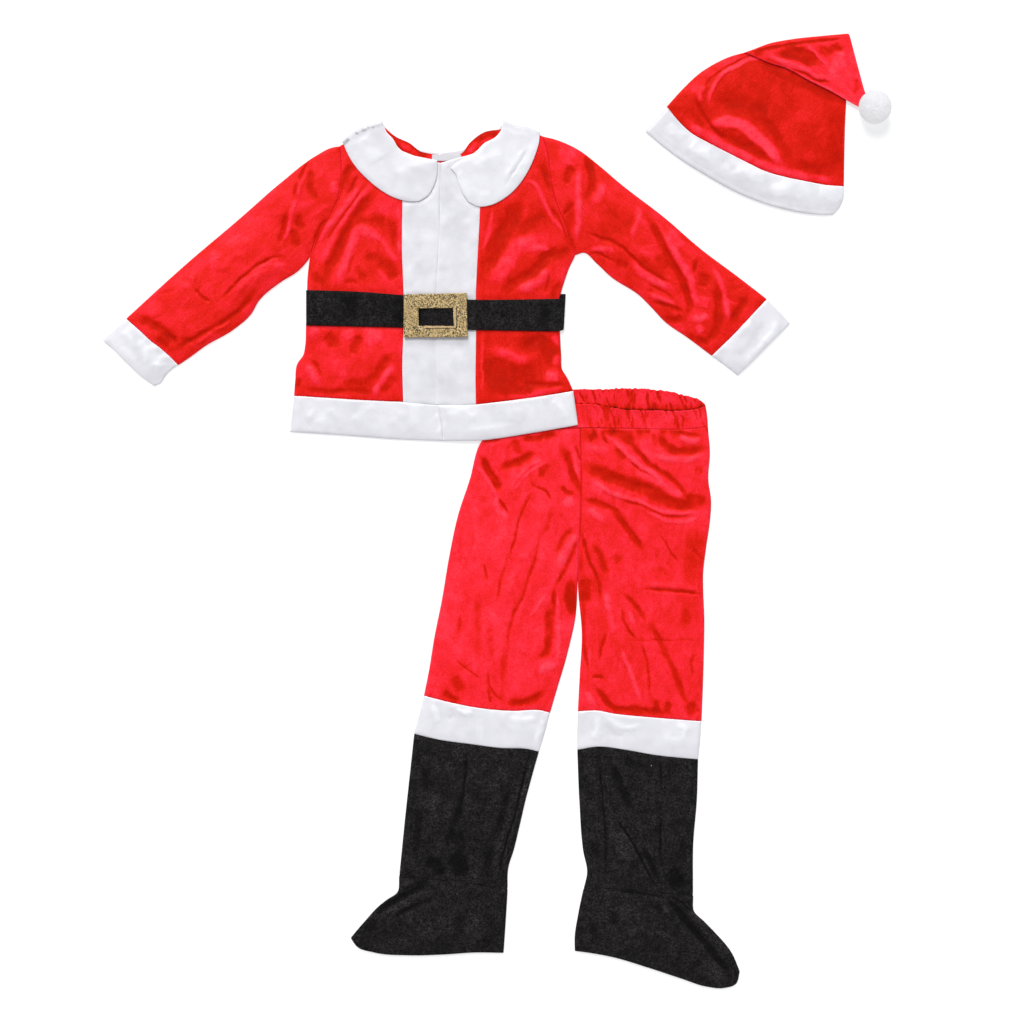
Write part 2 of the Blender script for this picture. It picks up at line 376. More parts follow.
TROUSERS_LEFT = (
    (7, -0.5, -1.6, 135, 101, 150, 100, 165, 92, 172, 82), (4.5, -0.4, -1.5, 115, 92, 127, 96),
    (2.2, -0.5, -1.5, 132, 102, 135, 91, 141, 85),
    (5, -1, -2.1, 204, 100, 208, 88, 221, 78, 240, 76, 262, 80),
    (2.5, -0.3, -1.3, 224, 101, 258, 95), (3, 0.9, 1.7, 227, 93, 252, 92, 253, 97),
    (3, -0.3, -0.9, 196, 98, 200, 83), (4, 0.5, 0.6, 183, 93, 185, 79, 195, 68),
    (2.6, 1.3, 1.4, 138, 95, 150, 87, 160, 76, 172, 65, 180, 57, 192, 51, 214, 32),
    (1.4, -0.2, -0.9, 166, 66, 180, 52, 195, 46), (4, 0.5, 1, 176, 52, 190, 43, 205, 37, 213, 31),
    (5, 0.3, 0.7, 214, 30, 232, 18), (3.4, -1, -1.5, 163, 90, 178, 75, 190, 62, 218, 42, 241, 18),
    (6, -0.5, -1.2, 238, 20, 262, 13), (3, 1, 1.2, 195, 72, 207, 68, 245, 67, 262, 72),
    (5, -0.6, -1, 248, 54, 259, 51), (4, 0.4, 0.7, 108, 83, 130, 78, 143, 78),
    (4, -0.4, -1.2, 150, 80, 155, 73, 162, 67),
    (8, -1.3, -1.7, 103, 62, 140, 45, 180, 32, 242, 7, 266, 9),
    (2.8, 1.4, 1.4, 109, 41, 125, 36, 140, 26, 180, 12, 215, -2, 232, -1, 266, 0),
    (1.8, -0.4, -1.1, 150, 22, 165, 13, 185, 8, 205, -2, 220, -5, 241, -4),
    (2, 0.5, 1.4, 185, 2, 215, -11, 245, -9, 256, -3), (6, 0.3, 0.6, 119, 33, 132, 24),
    (4.4, -1.1, -1.5, 107, 18, 135, 8, 150, 0, 158, -12, 177, -38, 186, -53),
    (4, 0.6, 0.9, 111, 3, 125, -3, 137, -13),
    (2.3, -1, -1.7, 107, -24, 112, -48, 118, -65, 125, -80, 129, -95, 130, -110),
    (4, -0.5, -1.1, 121, -40, 130, -52, 135, -70, 140, -80), (6, -0.3, -1, 146, -54, 155, -62),
    (1.4, -0.4, -1, 203, -26, 230, -66), (14, 0, -0.5, 252, -20, 246, -55, 250, -88),
    (2, -0.3, -1, 244, -42, 259, -60), (2, -1.2, -1.3, 184, -96, 205, -97, 258, -102),
    (3.5, 0.5, 0.3, 180, -91, 212, -92, 258, -97), (1.2, -0.3, -0.7, 158, -160, 258, -160),
    (3.2, -0.7, -1.1, 160, -102, 180, -125, 186, -137),
    (3.6, -0.9, -1.1, 193, -135, 198, -150, 203, -158, 207, -168, 222, -198, 235, -232, 245, -246),
    (4.5, 0.8, 0.2, 184, -150, 210, -208, 222, -232),
    (2, -0.7, -1.1, 157, -118, 160, -137, 169, -153, 178, -160),
    (1.8, -0.7, -1.1, 182, -165, 188, -185, 192, -228),
    (2.4, -0.5, -1, 251, -175, 245, -185, 245, -206), (5, -0.2, -0.5, 234, -120, 240, -140),
    (3.4, 1.3, 1.2, 136, -98, 145, -140, 147, -157),
    (2.6, 1.2, 1.6, 155, -170, 168, -200, 173, -216, 181, -236),
    (2.5, 0.4, 1.2, 165, -124, 173, -139), (2, -0.9, -1.4, 138, -150, 133, -165, 128, -187),
    (2.4, -0.6, -1.2, 108, -128, 110, -170, 115, -196), (1.6, 0.4, 1, 117, -168, 117, -196),
    (7, -0.5, -2, 110, -82, 111, -114), (2.5, -0.3, -0.7, 106, -22, 106, -50, 104, -80),
    (3, -0.2, -0.9, 107, -102, 110, -150), (2, -0.7, -1.4, 121, -205, 135, -207),
    (4, -1, -2, 121, -216, 130, -225, 140, -240, 150, -246, 175, -247, 216, -252),
    (3, 0.5, 1.7, 112, -224, 123, -241), (3, -0.3, -1.1, 200, -234, 200, -250),
    (4, -0.3, -1.2, 216, -237, 212, -252), (7, -0.5, -1.2, 241, -239, 250, -253),
)
KNEE_FOLDS = (
    (3.5, 1.2, 1.1, -80, -240, -75, -252, -74, -265),
    (3, -0.9, -0.5, -60, -245, -55, -252, -60, -262),
    (3.5, 1.3, 1.2, -50, -246, -40, -252, -28, -251), (4, 1.1, 1, 15, -255, 35, -260, 52, -257),
    (3, 1.1, 1, 56, -257, 55, -275, 47, -290), (5, 0.5, 0.5, -20, -257, -22, -277, -20, -290),
    (3.5, 1, 0.9, 126, -252, 126, -270, 122, -287),
    (3.6, 1.4, 1.3, 135, -255, 152, -267, 170, -270, 182, -265),
    (4, -0.8, -0.4, 132, -265, 145, -277, 162, -280),
    (3.5, 1, 0.9, 225, -265, 235, -270, 232, -287), (6, 0.6, 0.5, 205, -280, 225, -287, 242, -282),
)
SHAFT_RIGHT_FOLDS = (
    (1.5, -1.3, -2, 43, -299, 30, -350, 24, -378, 15, -405, 8, -430, 2, -460),
    (2.6, 0.9, 0.5, 47, -310, 39, -335, 31, -365, 21, -395, 13, -425),
    (3, 0.5, 0.4, 33, -325, 25, -350, 16, -385, 6, -415, -2, -445),
    (4, -0.4, -0.9, 15, -350, 8, -375, 2, -405), (5, -0.4, -0.9, -5, -415, -11, -440, -18, -455),
    (1.6, -1.2, -1.9, -37, -300, -38, -325, -45, -375),
    (4.5, -0.8, -1.3, -43, -352, -48, -378, -56, -398, -62, -420),
    (7, -0.5, -0.9, -50, -395, -46, -420, -45, -440),
    (7, -0.8, -1.6, -88, -436, -75, -440, -68, -455),
    (9, -0.8, -1.8, -57, -430, -46, -440, -44, -457),
    (5, -0.4, -0.8, -98, -362, -98, -395, -102, -432), (6, -0.3, -0.7, -88, -318, -85, -352),
    (8, 0.9, 0.4, -28, -322, -33, -360, -30, -397), (12, 0.7, 0.4, 5, -318, -5, -335),
    (8, 0.5, 0.3, -75, -350, -80, -410),
)
SHAFT_LEFT_FOLDS = (
    (1.4, -1.4, -1.9, 127, -298, 137, -420, 137, -462), (3.5, 0.8, 0.3, 121, -300, 128, -390),
    (4.5, -0.6, -1.2, 138, -310, 148, -322, 157, -345, 166, -362, 172, -380),
    (1.8, -1, -1.3, 206, -310, 206, -345), (1.8, -1, -1.6, 205, -375, 205, -432),
    (1.6, -1.6, -2.1, 144, -377, 152, -387, 203, -475), (3.5, -0.6, -1.2, 183, -418, 204, -462),
    (10, 1.1, 0.7, 147, -398, 172, -442), (8, 0.8, 0.4, 140, -345, 143, -370),
    (9, 0.7, 0.2, 190, -350, 190, -412), (9, -1.1, -2, 216, -448, 230, -464),
    (7, -0.8, -1.8, 218, -468, 234, -460), (4, -0.4, -0.8, 232, -410, 236, -438),
    (3, 0.5, 0.6, 207, -307, 248, -314), (5, -0.3, -0.6, 120, -412, 128, -432),
    (5, -0.3, -0.6, 152, -312, 180, -318, 200, -325),
)
FOOT_RIGHT_FOLDS = (
    (2, -0.6, -2.2, -121, -456, -80, -458.5, -60, -461),
    (1.4, -0.6, -1.4, -45, -462.5, -20, -466, 5, -471), (5, 1, 0.9, -118, -464, -96, -460),
    (1.3, -0.6, -1.7, -122, -475, -98, -464, -84, -460),
    (4, -1.2, -1.9, -84, -464, -120, -482, -152, -502),
    (4.5, 1.2, 0.6, -88, -476, -104, -483, -150, -510),
    (3, -1, -1.5, -75, -481, -120, -502, -130, -509), (5, -0.4, -0.9, -150, -508, -162, -524),
    (7, -0.3, -0.5, -140, -524, -130, -530, -126, -535),
    (14, 0.9, 0.3, -33, -485, -28, -510, -33, -535), (12, 0.6, 0.3, -95, -512, -70, -530),
    (6, -0.3, -0.7, -48, -505, -44, -522), (6, -0.4, -0.9, -12, -530, -12, -545),
)
FOOT_LEFT_FOLDS = (
    (4.2, -1.4, -2, 211, -482, 222, -492, 233, -506, 258, -535, 276, -558, 286, -569, 294, -584),
    (4, 1.4, 0.8, 238, -495, 284, -547, 296, -566),
    (1.4, -0.7, -1.8, 217, -479, 230, -487, 244, -499), (2, -0.6, -2.2, 150, -472, 208, -480),
    (3, 0.9, 0.3, 205, -490, 222, -508, 238, -530), (6, -0.3, -0.8, 150, -500, 145, -515),
    (5, -0.3, -0.6, 118, -512, 125, -532), (4, -0.3, -0.8, 200, -488, 208, -500),
    (5, -0.2, -0.7, 240, -567, 257, -562), (6, 0.4, 0.6, 262, -572, 280, -583),
    (14, 0.8, 0.3, 172, -490, 167, -510, 175, -530), (10, 0.5, 0.3, 200, -520, 220, -540),
)
COLLAR_RIGHT_FOLDS = (
    (8, 1.3, 0.7, -130, 420, -110, 429, -90, 434, -79, 425), (10, 0.9, 0.5, -168, 470, -145, 438),
    (5, 0.5, 0.2, -120, 403, -103, 398, -90, 405),
)
COLLAR_LEFT_FOLDS = (
    (2, -1.1, -0.3, 40, 455, 25, 429, 9, 405), (3.6, 1.2, 0.6, 35, 453, 8, 413),
    (8, 1.2, 0.6, -35, 430, -13, 440, 12, 448), (7, 0.8, 0.4, -33, 405, -20, 395, -5, 398),
    (4, 0.6, 0.3, -50, 420, -40, 425), (4, 0.7, 0.3, 46, 460, 43, 445, 35, 428),
)
NECK_FOLDS = (
    (3, 1.2, 0.8, -123, 462, -95, 444), (2, -1, -0.8, -130, 465, -118, 453, -105, 447),
    (3.2, 1.2, 0.9, -38, 448, -23, 460, -3, 470), (2.6, -1.1, -0.9, -33, 440, 5, 467),
    (2, -0.8, -0.8, -28, 455, -15, 468, 2, 475),
)

BELT_FOLDS = (
    (9, 0, -0.9, -185, 274, -182, 255, -186, 240), (7, 0, -1.2, -121, 270, -121, 234),
    (10, 0, -0.4, -150, 262, -135, 250), (12, 0, 0.3, -225, 262, -222, 245),
    (9, 0, -0.7, -18, 262, -8, 258), (4, 0, 0.5, -31, 264, -31, 230),
    (7, 0, -0.7, 58, 262, 62, 250, 60, 238), (12, 0, 0.3, 20, 250, 35, 240),
)

# Each panel's outline: its left and right sides, and the lines where it starts and ends. A minus
# stands before a line that is taken backwards.
HEM_SEAM = "hem_seam_right hem_seam_mid_right hem_seam_mid_left hem_seam_left"
OUTLINES = {
    "jacket_front_right": ("-side_right -armhole_right", "-placket_right_edge", "hem_seam_right",
                           "shoulder_right neck_front_right"),
    "jacket_front_left": ("-placket_left_edge", "-side_left -armhole_left", "hem_seam_left",
                          "neck_front_left shoulder_left"),
    "jacket_back": ("-side_right -armhole_right", "-side_left -armhole_left", HEM_SEAM,
                    "shoulder_right neck_back shoulder_left"),
    "placket_right": ("-placket_right_edge", "-centre", "hem_seam_mid_right",
                      "neck_placket_right"),
    "placket_left": ("-centre", "-placket_left_edge", "hem_seam_mid_left", "neck_placket_left"),
    "hem_band_front_right": ("-hem_side_right", "-hem_centre", "hem_right",
                             "hem_seam_right hem_seam_mid_right"),
    "hem_band_front_left": ("-hem_centre", "-hem_side_left", "hem_left",
                            "hem_seam_mid_left hem_seam_left"),
    "hem_band_back": ("-hem_side_right", "-hem_side_left", "hem_right hem_left", HEM_SEAM),
    "waistband_front": ("waist_side_right", "waist_side_left", "waist_front_top",
                        "waist_front_seam"),
    "hat_body": ("hat_crown", "hat_side", "brim_seam", "hat_fold"),
    "hat_tip": ("flap_lower", "flap_right", "hat_fold", "flap_end"),
    "hat_brim": ("brim_left", "brim_right", "brim_seam", "brim_lower"),
}
for side, near, far, first, second in (("right", "outer", "inner", "instep", "heel"),
                                       ("left", "inner", "outer", "heel", "instep")):
    knee, ankle = f"knee_{side}_bottom", f"ankle_{side}"
    OUTLINES[f"sleeve_{side}"] = (f"sleeve_{side}_top", f"sleeve_{side}_bottom",
                                  f"armhole_{side}", f"cuff_{side}_seam")
    for node, ends in ((f"cuff_{side}", ("upper", "lower", "seam", "end")),
                       (f"collar_{side}", ("neck", "outer", "end", "fold"))):
        OUTLINES[node] = tuple(f"{node}_{end}" for end in ends)
    OUTLINES[f"knee_band_{side}"] = tuple(f"knee_{side}_{end}"
                                          for end in (near, far, "top", "bottom"))
    OUTLINES[f"boot_shaft_{side}"] = (f"shaft_{side}_{near}", f"shaft_{side}_{far}", knee, ankle)
    OUTLINES[f"boot_foot_{side}"] = (f"foot_{side}_{first}", f"foot_{side}_{second}", ankle,
                                     f"sole_{side}")

# The part of the collar that is turned under: its neck side and its outer side.
COLLAR_UNDER = {
    "right": (
        (-141.5, 485.5, -129, 473, -116.5, 464, -95.5, 454, -71.5, 450),
        (-191, 460.5, -170.5, 443, -140.5, 426.5, -105.5, 410.5, -71.5, 406.5),
    ),
    "left": (
        (7.5, 486, -8, 470.5, -24, 461.5, -45.5, 453.5, -70, 450),
        (54, 472, 32, 443, -0.5, 426.5, -35.5, 410.5, -70, 406.5),
    ),
}

# The neck: where the jacket's back shows inside it, and the blank label there.
NECK_LOW, NECK_SIDES, NECK_CENTRE = 436, (-140, 8), (-68, 500)
LABEL_X, LABEL_Y = (-80.5, -44.0), (439.0, 447.0)
LABEL_CUT = (0.0365, 0.0105)         # width and length, in metres

# Where the belt runs: its edges over the fronts, the x of its turns, and where its tongue climbs
# onto the strap and ends.
BELT_TOP_EDGE = (-238, 277.5, -175, 275.5, -115, 271, -78, 268, -36, 265.5, 20, 265.5,
                 79.5, 266.5, 84, 266.5)
BELT_LOW_EDGE = (-241, 233.5, -175, 232, -115, 230.5, -78, 229, -36, 227.8, 20, 226.8,
                 79.5, 226, 84, 226)
BELT_SIDES = (-234.8, 80.3)
TONGUE_RISE = (-92.0, -71.0)
TONGUE_END = -24.5
STRAP_START = -65.0
LOOP_REACH = 2.2                     # how far the belt stands off the jacket at its left turn
LOOP_RISE = 6.5                      # how far its back part climbs there
LOOP_LEAN = 2.4                      # how much further its upper edge stands off than its lower
ON_FRONTS = 5.2                      # the height above which it lies over the fronts

# The buckle: corners, the grid's cells each way with the window's first and last, and the shares
# of the outside that those stand at.
BUCKLE_OUTER = ((-115.5, 218), (-36, 218.5), (-37, 273.5), (-115.5, 271.7))
BUCKLE_WINDOW = ((-96.8, 232.6), (-53, 232.2), (-54, 254.8), (-97, 254.4))
BUCKLE_CELLS = ((64, 14, 49), (48, 13, 34))
BUCKLE_SHARES_X = (0, 0.245, 0.79, 1)
BUCKLE_SHARES_Y = (0, 0.265, 0.69, 1)
LIP = {1: 0.8, 2: 0.8, 3: -1.0}      # light and dark lines round two sides of the window
FOAM_THICKNESS, FOAM_EDGE = 1.9, 0.35

# The trousers' middle seam as a share of the waist, and the y where their legs part.
MIDDLE_SEAM = 0.4145
CROTCH = -24
BACKS_MEET = -84                     # the y above which the two back legs are sewn together
WAIST_OPEN = 105                     # the x from which the waistband stands clear of the jacket
ARMHOLE_END = 322                    # the y where the jacket's side seams start
BELOW_BELT = 245                     # the y below which the left front hangs darker
SIDE_ROLL = 2.6                      # over how many millimetres a free side rolls down

# Heights of the layers' middle surfaces, in millimetres.
FLOOR_LAYER = 0.6
COLLAR_LEVEL = 5.75
COLLAR_UNDER_LEVEL = 0.8
BELT_LEVEL = 5.65
BELT_UNDER_LEVEL = 0.75
TONGUE_LEVEL = 7.4
BUCKLE_LEVEL = 8.5
LABEL_LEVEL = 3.9
HAT_BACK_LEVELS = (0.6, 5.8)
HAT_FRONT_LEVELS = (2.1, 4.2)
FLAP_INNER_CORNER, FLAP_OUTER_CORNER = 3.2, 4.5     # the hat's layers where its fold starts
CORNER_REACH = 34                    # how far from there they lie at their full heights
FLAP_GAP = 0.9                       # how far the flap's lining stays back from its edges
TURN_GROWS = 0.3                     # the share of the fold over which it comes to lean out
TUBE_LEAST = 1.75                    # the lowest that a tube's upper wall lies

# Cloths: material slot, thickness and the mesh's cell, in millimetres.
Kind = namedtuple("Kind", "slot thickness cell")
VELOUR = Kind(RED, 1.0, 2.08)
VELOUR_GATHERED = Kind(RED, 1.0, 1.25)
VELOUR_BACK = Kind(RED, 1.0, 3.2)
VELOUR_UNDER = Kind(RED, 1.0, 4.0)
SATIN = Kind(WHITE, 1.0, 1.65)
SATIN_UNDER = Kind(WHITE, 1.0, 2.8)
COLLAR_SATIN = Kind(WHITE, 1.4, 1.5)
FELT = Kind(BLACK, 1.0, 1.85)
STRAP_FELT = Kind(BLACK, 1.3, 1.7)
TAPE = Kind("label_tape", 0.6, 1.0)
COLLAR_LINING_CELL, FLAP_LINING_CELL, HAT_UNDER_CELL = 2.6, 3.2, 3.6
HAT_COLUMNS = 90

# The pompom's tufts: the share of faces that grow one, how far they lean and how they narrow.
TUFT_SHARE, TUFT_LEAN, TUFT_TAPER = 0.6, 0.22, 0.28

# The CAD's surfaces are searched from these heights, in metres; what lies within SEAM_REACH of a
# point is sewn to it.
ABOVE_SUIT, AMONG_LAYERS = 0.1, 0.006
SEAM_REACH = 0.0015
RIM_THINNESS = 0.75                  # the cloth's thickness at a free edge, as a share
SIDE_STEPS, TURN_STEPS = 3, 6        # rows of points down a tube's side and round a fold
LIT_FROM = (-0.26, 0.97)             # the direction on the floor that the light comes from
FLOOR_DROP = 0.0005                  # how far the studio's floor lies under the suit, in metres
CAMERA_PLACE = (0.0192, -0.0022, 3.026)
LENS, SENSOR = 85, 36                # in millimetres


# ---- sizes and colours that a user would change ----

class SuitSizes(bpy.types.PropertyGroup):
    """How strongly the cloth is folded and how its parts stand."""

    fold_strength: bpy.props.FloatProperty(
        name="Folds", description="Height of the folds and creases", default=1.0, min=0, max=1.5)
    crush: bpy.props.FloatProperty(
        name="Crushed pile", description="How unevenly the velour's pile lies", default=1.0,
        min=0, max=2)
    gather_depth: bpy.props.FloatProperty(
        name="Gathers", description="Depth of the gathers along the satin's seams, in millimetres",
        default=0.55, min=0, max=1.2)
    crown: bpy.props.FloatProperty(
        name="Loft", description="How far a panel swells between its seams, in millimetres",
        default=0.6, min=0, max=1)
    tuft_length: bpy.props.FloatProperty(
        name="Pompom fibres", description="Length of the pompom's fibres", default=0.0026,
        min=0.001, max=0.006, unit="LENGTH")


class SuitColours(bpy.types.PropertyGroup):
    """The cloths' colours."""

    velour: bpy.props.FloatVectorProperty(
        name="Velour", description="Red of the jacket, trousers and hat", subtype="COLOR",
        default=(0.72, 0.0105, 0.0078), min=0, max=1)
    velour_light: bpy.props.FloatVectorProperty(
        name="Velour, brushed up", description="Red where the pile catches the light",
        subtype="COLOR", default=(0.87, 0.0172, 0.0350), min=0, max=1)
    velour_dark: bpy.props.FloatVectorProperty(
        name="Velour, brushed down", description="Red where the pile turns away", subtype="COLOR",
        default=(0.54, 0.0052, 0.0005), min=0, max=1)
    satin: bpy.props.FloatVectorProperty(
        name="Satin", description="White of the collar, cuffs and bands", subtype="COLOR",
        default=(0.652, 0.646, 0.684), min=0, max=1)
    felt: bpy.props.FloatVectorProperty(
        name="Felt", description="Black of the belt and the boot covers", subtype="COLOR",
        default=(0.0112, 0.0100, 0.0100), min=0, max=1)
    glitter: bpy.props.FloatVectorProperty(
        name="Buckle", description="Gold of the buckle's glitter foam", subtype="COLOR",
        default=(0.41, 0.295, 0.127), min=0, max=1)
    label: bpy.props.FloatVectorProperty(
        name="Label", description="The blank tape in the neck", subtype="COLOR",
        default=(0.62, 0.61, 0.64), min=0, max=1)
    fluff: bpy.props.FloatVectorProperty(
        name="Pompom", description="White of the pompom", subtype="COLOR",
        default=(0.30, 0.30, 0.31), min=0, max=1)


def sizes():
    """The sizes chosen in the sidebar."""
    return bpy.context.scene.santa_suit_sizes


def colours():
    """The colours chosen in the sidebar."""
    return bpy.context.scene.santa_suit_colours


# ---- lines and patches ----

def travelled(points):
    """How far along a line each of its points is."""
    return np.concatenate([[0], np.cumsum(np.linalg.norm(np.diff(points, axis=0), axis=1))])


def smooth_line(numbers):
    """Closely spaced points on the smooth line through a few, given as x, y, x, y and so on."""
    given = np.reshape(np.array(numbers, float), (-1, 2))
    along = travelled(given)
    slopes = np.gradient(given, along, axis=0)
    at = np.linspace(0, along[-1], SAMPLES)
    k = np.clip(np.searchsorted(along, at, side="right") - 1, 0, len(given) - 2)
    span = (along[k + 1] - along[k])[:, None]
    x = (at[:, None] - along[k][:, None]) / span
    return ((1 + 2 * x) * (1 - x) ** 2 * given[k] + x * (1 - x) ** 2 * span * slopes[k]
            + x * x * (3 - 2 * x) * given[k + 1] + x * x * (x - 1) * span * slopes[k + 1])


def spaced(points, count=SAMPLES):
    """Evenly spaced points along a dense line."""
    along = travelled(points)
    at = np.linspace(0, along[-1], count)
    return np.stack([np.interp(at, along, points[:, k]) for k in range(points.shape[1])], axis=1)


def straight(start, end):
    """The straight line between two points."""
    return spaced(np.stack([start, end]))


def run(names):
    """Lines joined end to end, named in one string, with a minus before a backward one."""
    lines = [smooth_line(LINES[name.lstrip("-")])[::-1 if name[0] == "-" else 1]
             for name in names.split()]
    return spaced(np.concatenate(lines))


def at(line, share):
    """Points at shares from 0 to 1 of an evenly spaced line."""
    place = np.asarray(share) * (len(line) - 1)
    index = np.arange(len(line))
    return np.stack([np.interp(place, index, line[:, k]) for k in (0, 1)], axis=-1)


class Patch:
    """A panel's outline: u runs across it from left to right, v along it from start to end."""

    def __init__(self, left, right, start, end):
        self.left, self.right, self.start, self.end = left, right, start, end

    def at(self, u, v):
        """Points of the panel, spread evenly between its four lines."""
        a, b = np.asarray(u)[..., None], np.asarray(v)[..., None]
        across = (1 - a) * at(self.left, v) + a * at(self.right, v)
        along = (1 - b) * at(self.start, u) + b * at(self.end, u)
        corners = ((1 - a) * (1 - b) * self.start[0] + a * (1 - b) * self.start[-1]
                   + (1 - a) * b * self.end[0] + a * b * self.end[-1])
        return across + along - corners

    def widths(self, v):
        """How wide the panel is at each v."""
        return np.linalg.norm(at(self.right, v) - at(self.left, v), axis=-1)

    def lengths(self, u):
        """How long the panel is at each u."""
        return np.linalg.norm(at(self.end, u) - at(self.start, u), axis=-1)

    def cut(self):
        """Width, length and area of the panel laid flat, in metres."""
        t = np.linspace(0, 1, 41)
        v, u = np.meshgrid(t, t, indexing="ij")
        p = self.at(u, v) * MM
        across = np.linalg.norm(np.diff(p, axis=1), axis=2).sum(axis=1).max()
        along = np.linalg.norm(np.diff(p, axis=0), axis=2).sum(axis=0).max()
        return across, along, area_of(p)


def area_of(p):
    """Area of a grid of points."""
    if p.shape[-1] == 2:
        p = np.concatenate([p, np.zeros(p.shape[:-1] + (1,))], axis=-1)
    diagonals = np.cross(p[1:, 1:] - p[:-1, :-1], p[1:, :-1] - p[:-1, 1:])
    return float(np.linalg.norm(diagonals, axis=-1).sum() / 2)


def outline(name):
    """A panel's outline from the table."""
    return Patch(*map(run, OUTLINES[name]))


def end_to_end(first, second):
    """The cut of two patches in one piece, sewn or folded along a line across it."""
    cut, more = first.cut(), second.cut()
    return max(cut[0], more[0]), cut[1] + more[1], cut[2] + more[2]


class Panel:
    """A patch sampled on a grid, with each point's distance from each edge in millimetres."""

    def __init__(self, patch, cell, sides=SEAM_GAP, ends=SEAM_GAP, columns=None):
        self.patch = patch
        width, length = patch.widths(0.5), patch.lengths(0.5)
        widest = patch.widths(np.linspace(0, 1, 9)).max()
        longest = patch.lengths(np.linspace(0, 1, 9)).max()
        self.across = np.linspace(sides / width, 1 - sides / width,
                                  columns or max(int(widest / cell) + 2, 5))
        self.along = np.linspace(ends / length, 1 - ends / length, max(int(longest / cell) + 2, 4))
        self.v, self.u = np.meshgrid(self.along, self.across, indexing="ij")
        self.xy = patch.at(self.u, self.v)
        self.x, self.y = self.xy[..., 0], self.xy[..., 1]
        w, l = patch.widths(self.v), patch.lengths(self.u)
        self.left, self.right = self.u * w, (1 - self.u) * w
        self.start, self.end = self.v * l, (1 - self.v) * l
        self.edge = np.minimum(np.minimum(self.left, self.right), np.minimum(self.start, self.end))
        self.z = np.zeros(self.u.shape)
        self.tone = np.zeros(self.u.shape)


# ---- relief ----

def ease(x):
    """A smooth step from 0 at x = 0 to 1 at x = 1."""
    x = np.clip(x, 0, 1)
    return x * x * (3 - 2 * x)


def ripple(across, along, seed):
    """Smooth random heights, about -1 to 1, on a lattice of unit cells."""
    lattice = np.random.default_rng(seed).uniform(-1, 1, (61, 61))
    i, j = np.floor(across).astype(int), np.floor(along).astype(int)
    a, b = ease(across - i), ease(along - j)
    i, j, next_i, next_j = i % 61, j % 61, (i + 1) % 61, (j + 1) % 61
    low = lattice[i, j] * (1 - a) + lattice[next_i, j] * a
    high = lattice[i, next_j] * (1 - a) + lattice[next_i, next_j] * a
    return low * (1 - b) + high * b


def from_line(xy, points):
    """Distance from a line of points, its sign by side, and the share along the line."""
    best = np.full(xy.shape[:-1], 1e9)
    signed, share = np.zeros_like(best), np.zeros_like(best)
    before = travelled(points)
    for k, length in enumerate(np.linalg.norm(np.diff(points, axis=0), axis=1)):
        step = (points[k + 1] - points[k]) / length
        to = xy - points[k]
        t = to @ step
        near = np.clip(t, 0, length)
        gap = np.linalg.norm(to - near[..., None] * step, axis=-1)
        side = np.where(step[0] * to[..., 1] - step[1] * to[..., 0] < 0, -1.0, 1.0)
        closer = gap < best
        best = np.where(closer, gap, best)
        signed = np.where(closer, gap * side, signed)
        share = np.where(closer, (before[k] + near) / before[-1], share)
    return signed, share


def folded(xy, folds, warp=1.2, crisp=2.9):
    """Height and tone that a list of folds gives to points.

    `warp` is how far the lines wander, in millimetres, and `crisp` how sharply tones end.
    """
    height, tone = np.zeros(xy.shape[:-1]), np.zeros(xy.shape[:-1])
    x, y = xy[..., 0], xy[..., 1]
    uneven = 1 + 0.4 * ripple(x / 8, y / 8, 301)
    rough = 1 + warp * (0.12 * ripple(x / 6, y / 7, 311) + 0.06 * ripple(x / 2.6, y / 2.8, 313))
    wander = [[0.7 * ripple(x / 10, y / 9, seed) + 0.3 * ripple(x / 4, y / 4, seed + 2)]
              for seed in (303, 307)]
    xy = xy + warp * np.concatenate(wander).transpose(1, 2, 0)
    low, high = xy.reshape(-1, 2).min(axis=0), xy.reshape(-1, 2).max(axis=0)
    for wide, tall, lay, *line in folds:
        dense = spaced(smooth_line(line), 24)
        reach = 4 * wide
        if (dense.max(axis=0) < low - reach).any() or (dense.min(axis=0) > high + reach).any():
            continue
        distance, share = from_line(xy, dense)
        length = np.linalg.norm(np.diff(dense, axis=0), axis=1).sum()
        end = 0.22 * min(length / (6 * wide), 1)
        taper = ease(share / end) * ease((1 - share) / end)
        fine = wide < 3
        width = wide * (0.7 + 0.3 * taper) * (0.85 if fine else 1)
        strong = lay * (1.15 if fine else min(length / (3.2 * wide), 1))
        height += tall * np.exp(-np.abs(distance / width) ** 1.8) * taper
        power = crisp + 0.2 * max(wide - 4, 0)
        shape = np.exp(-np.abs(distance / (width * rough)) ** power)
        tone += strong * shape * (0.15 + 0.85 * taper)
    return height * uneven, tone * uneven


def inside(xy, border):
    """Whether points lie inside a closed outline."""
    x, y = xy[..., 0], xy[..., 1]
    result = np.zeros(x.shape, bool)
    for (x0, y0), (x1, y1) in zip(border, np.roll(border, -1, axis=0)):
        if y0 != y1:
            crosses = (y0 > y) != (y1 > y)
            result ^= crosses & (x < (x1 - x0) * (y - y0) / (y1 - y0) + x0)
    return result


def clear_of(xy, border, margin):
    """0 under a closed outline, rising to 1 a margin away from it."""
    border = border[::max(len(border) // 80, 1)]
    distance = np.abs(from_line(xy, np.concatenate([border, border[:1]]))[0])
    return np.where(inside(xy, border), 0, ease(distance / margin))


def collar_outline(side):
    """The outline of a half of the collar."""
    name = f"collar_{side}"
    return run(f"{name}_end {name}_outer -{name}_fold -{name}_neck")


def belt_outline():
    """The outline of the belt over the fronts."""
    top, low = smooth_line(BELT_TOP_EDGE), smooth_line(BELT_LOW_EDGE)
    return spaced(np.concatenate([top, low[::-1]]), 80)


def hem_outline():
    """The outline of the jacket's skirt, where it lies on the trousers."""
    return run("-centre hem_centre hem_left -hem_side_left -side_left")


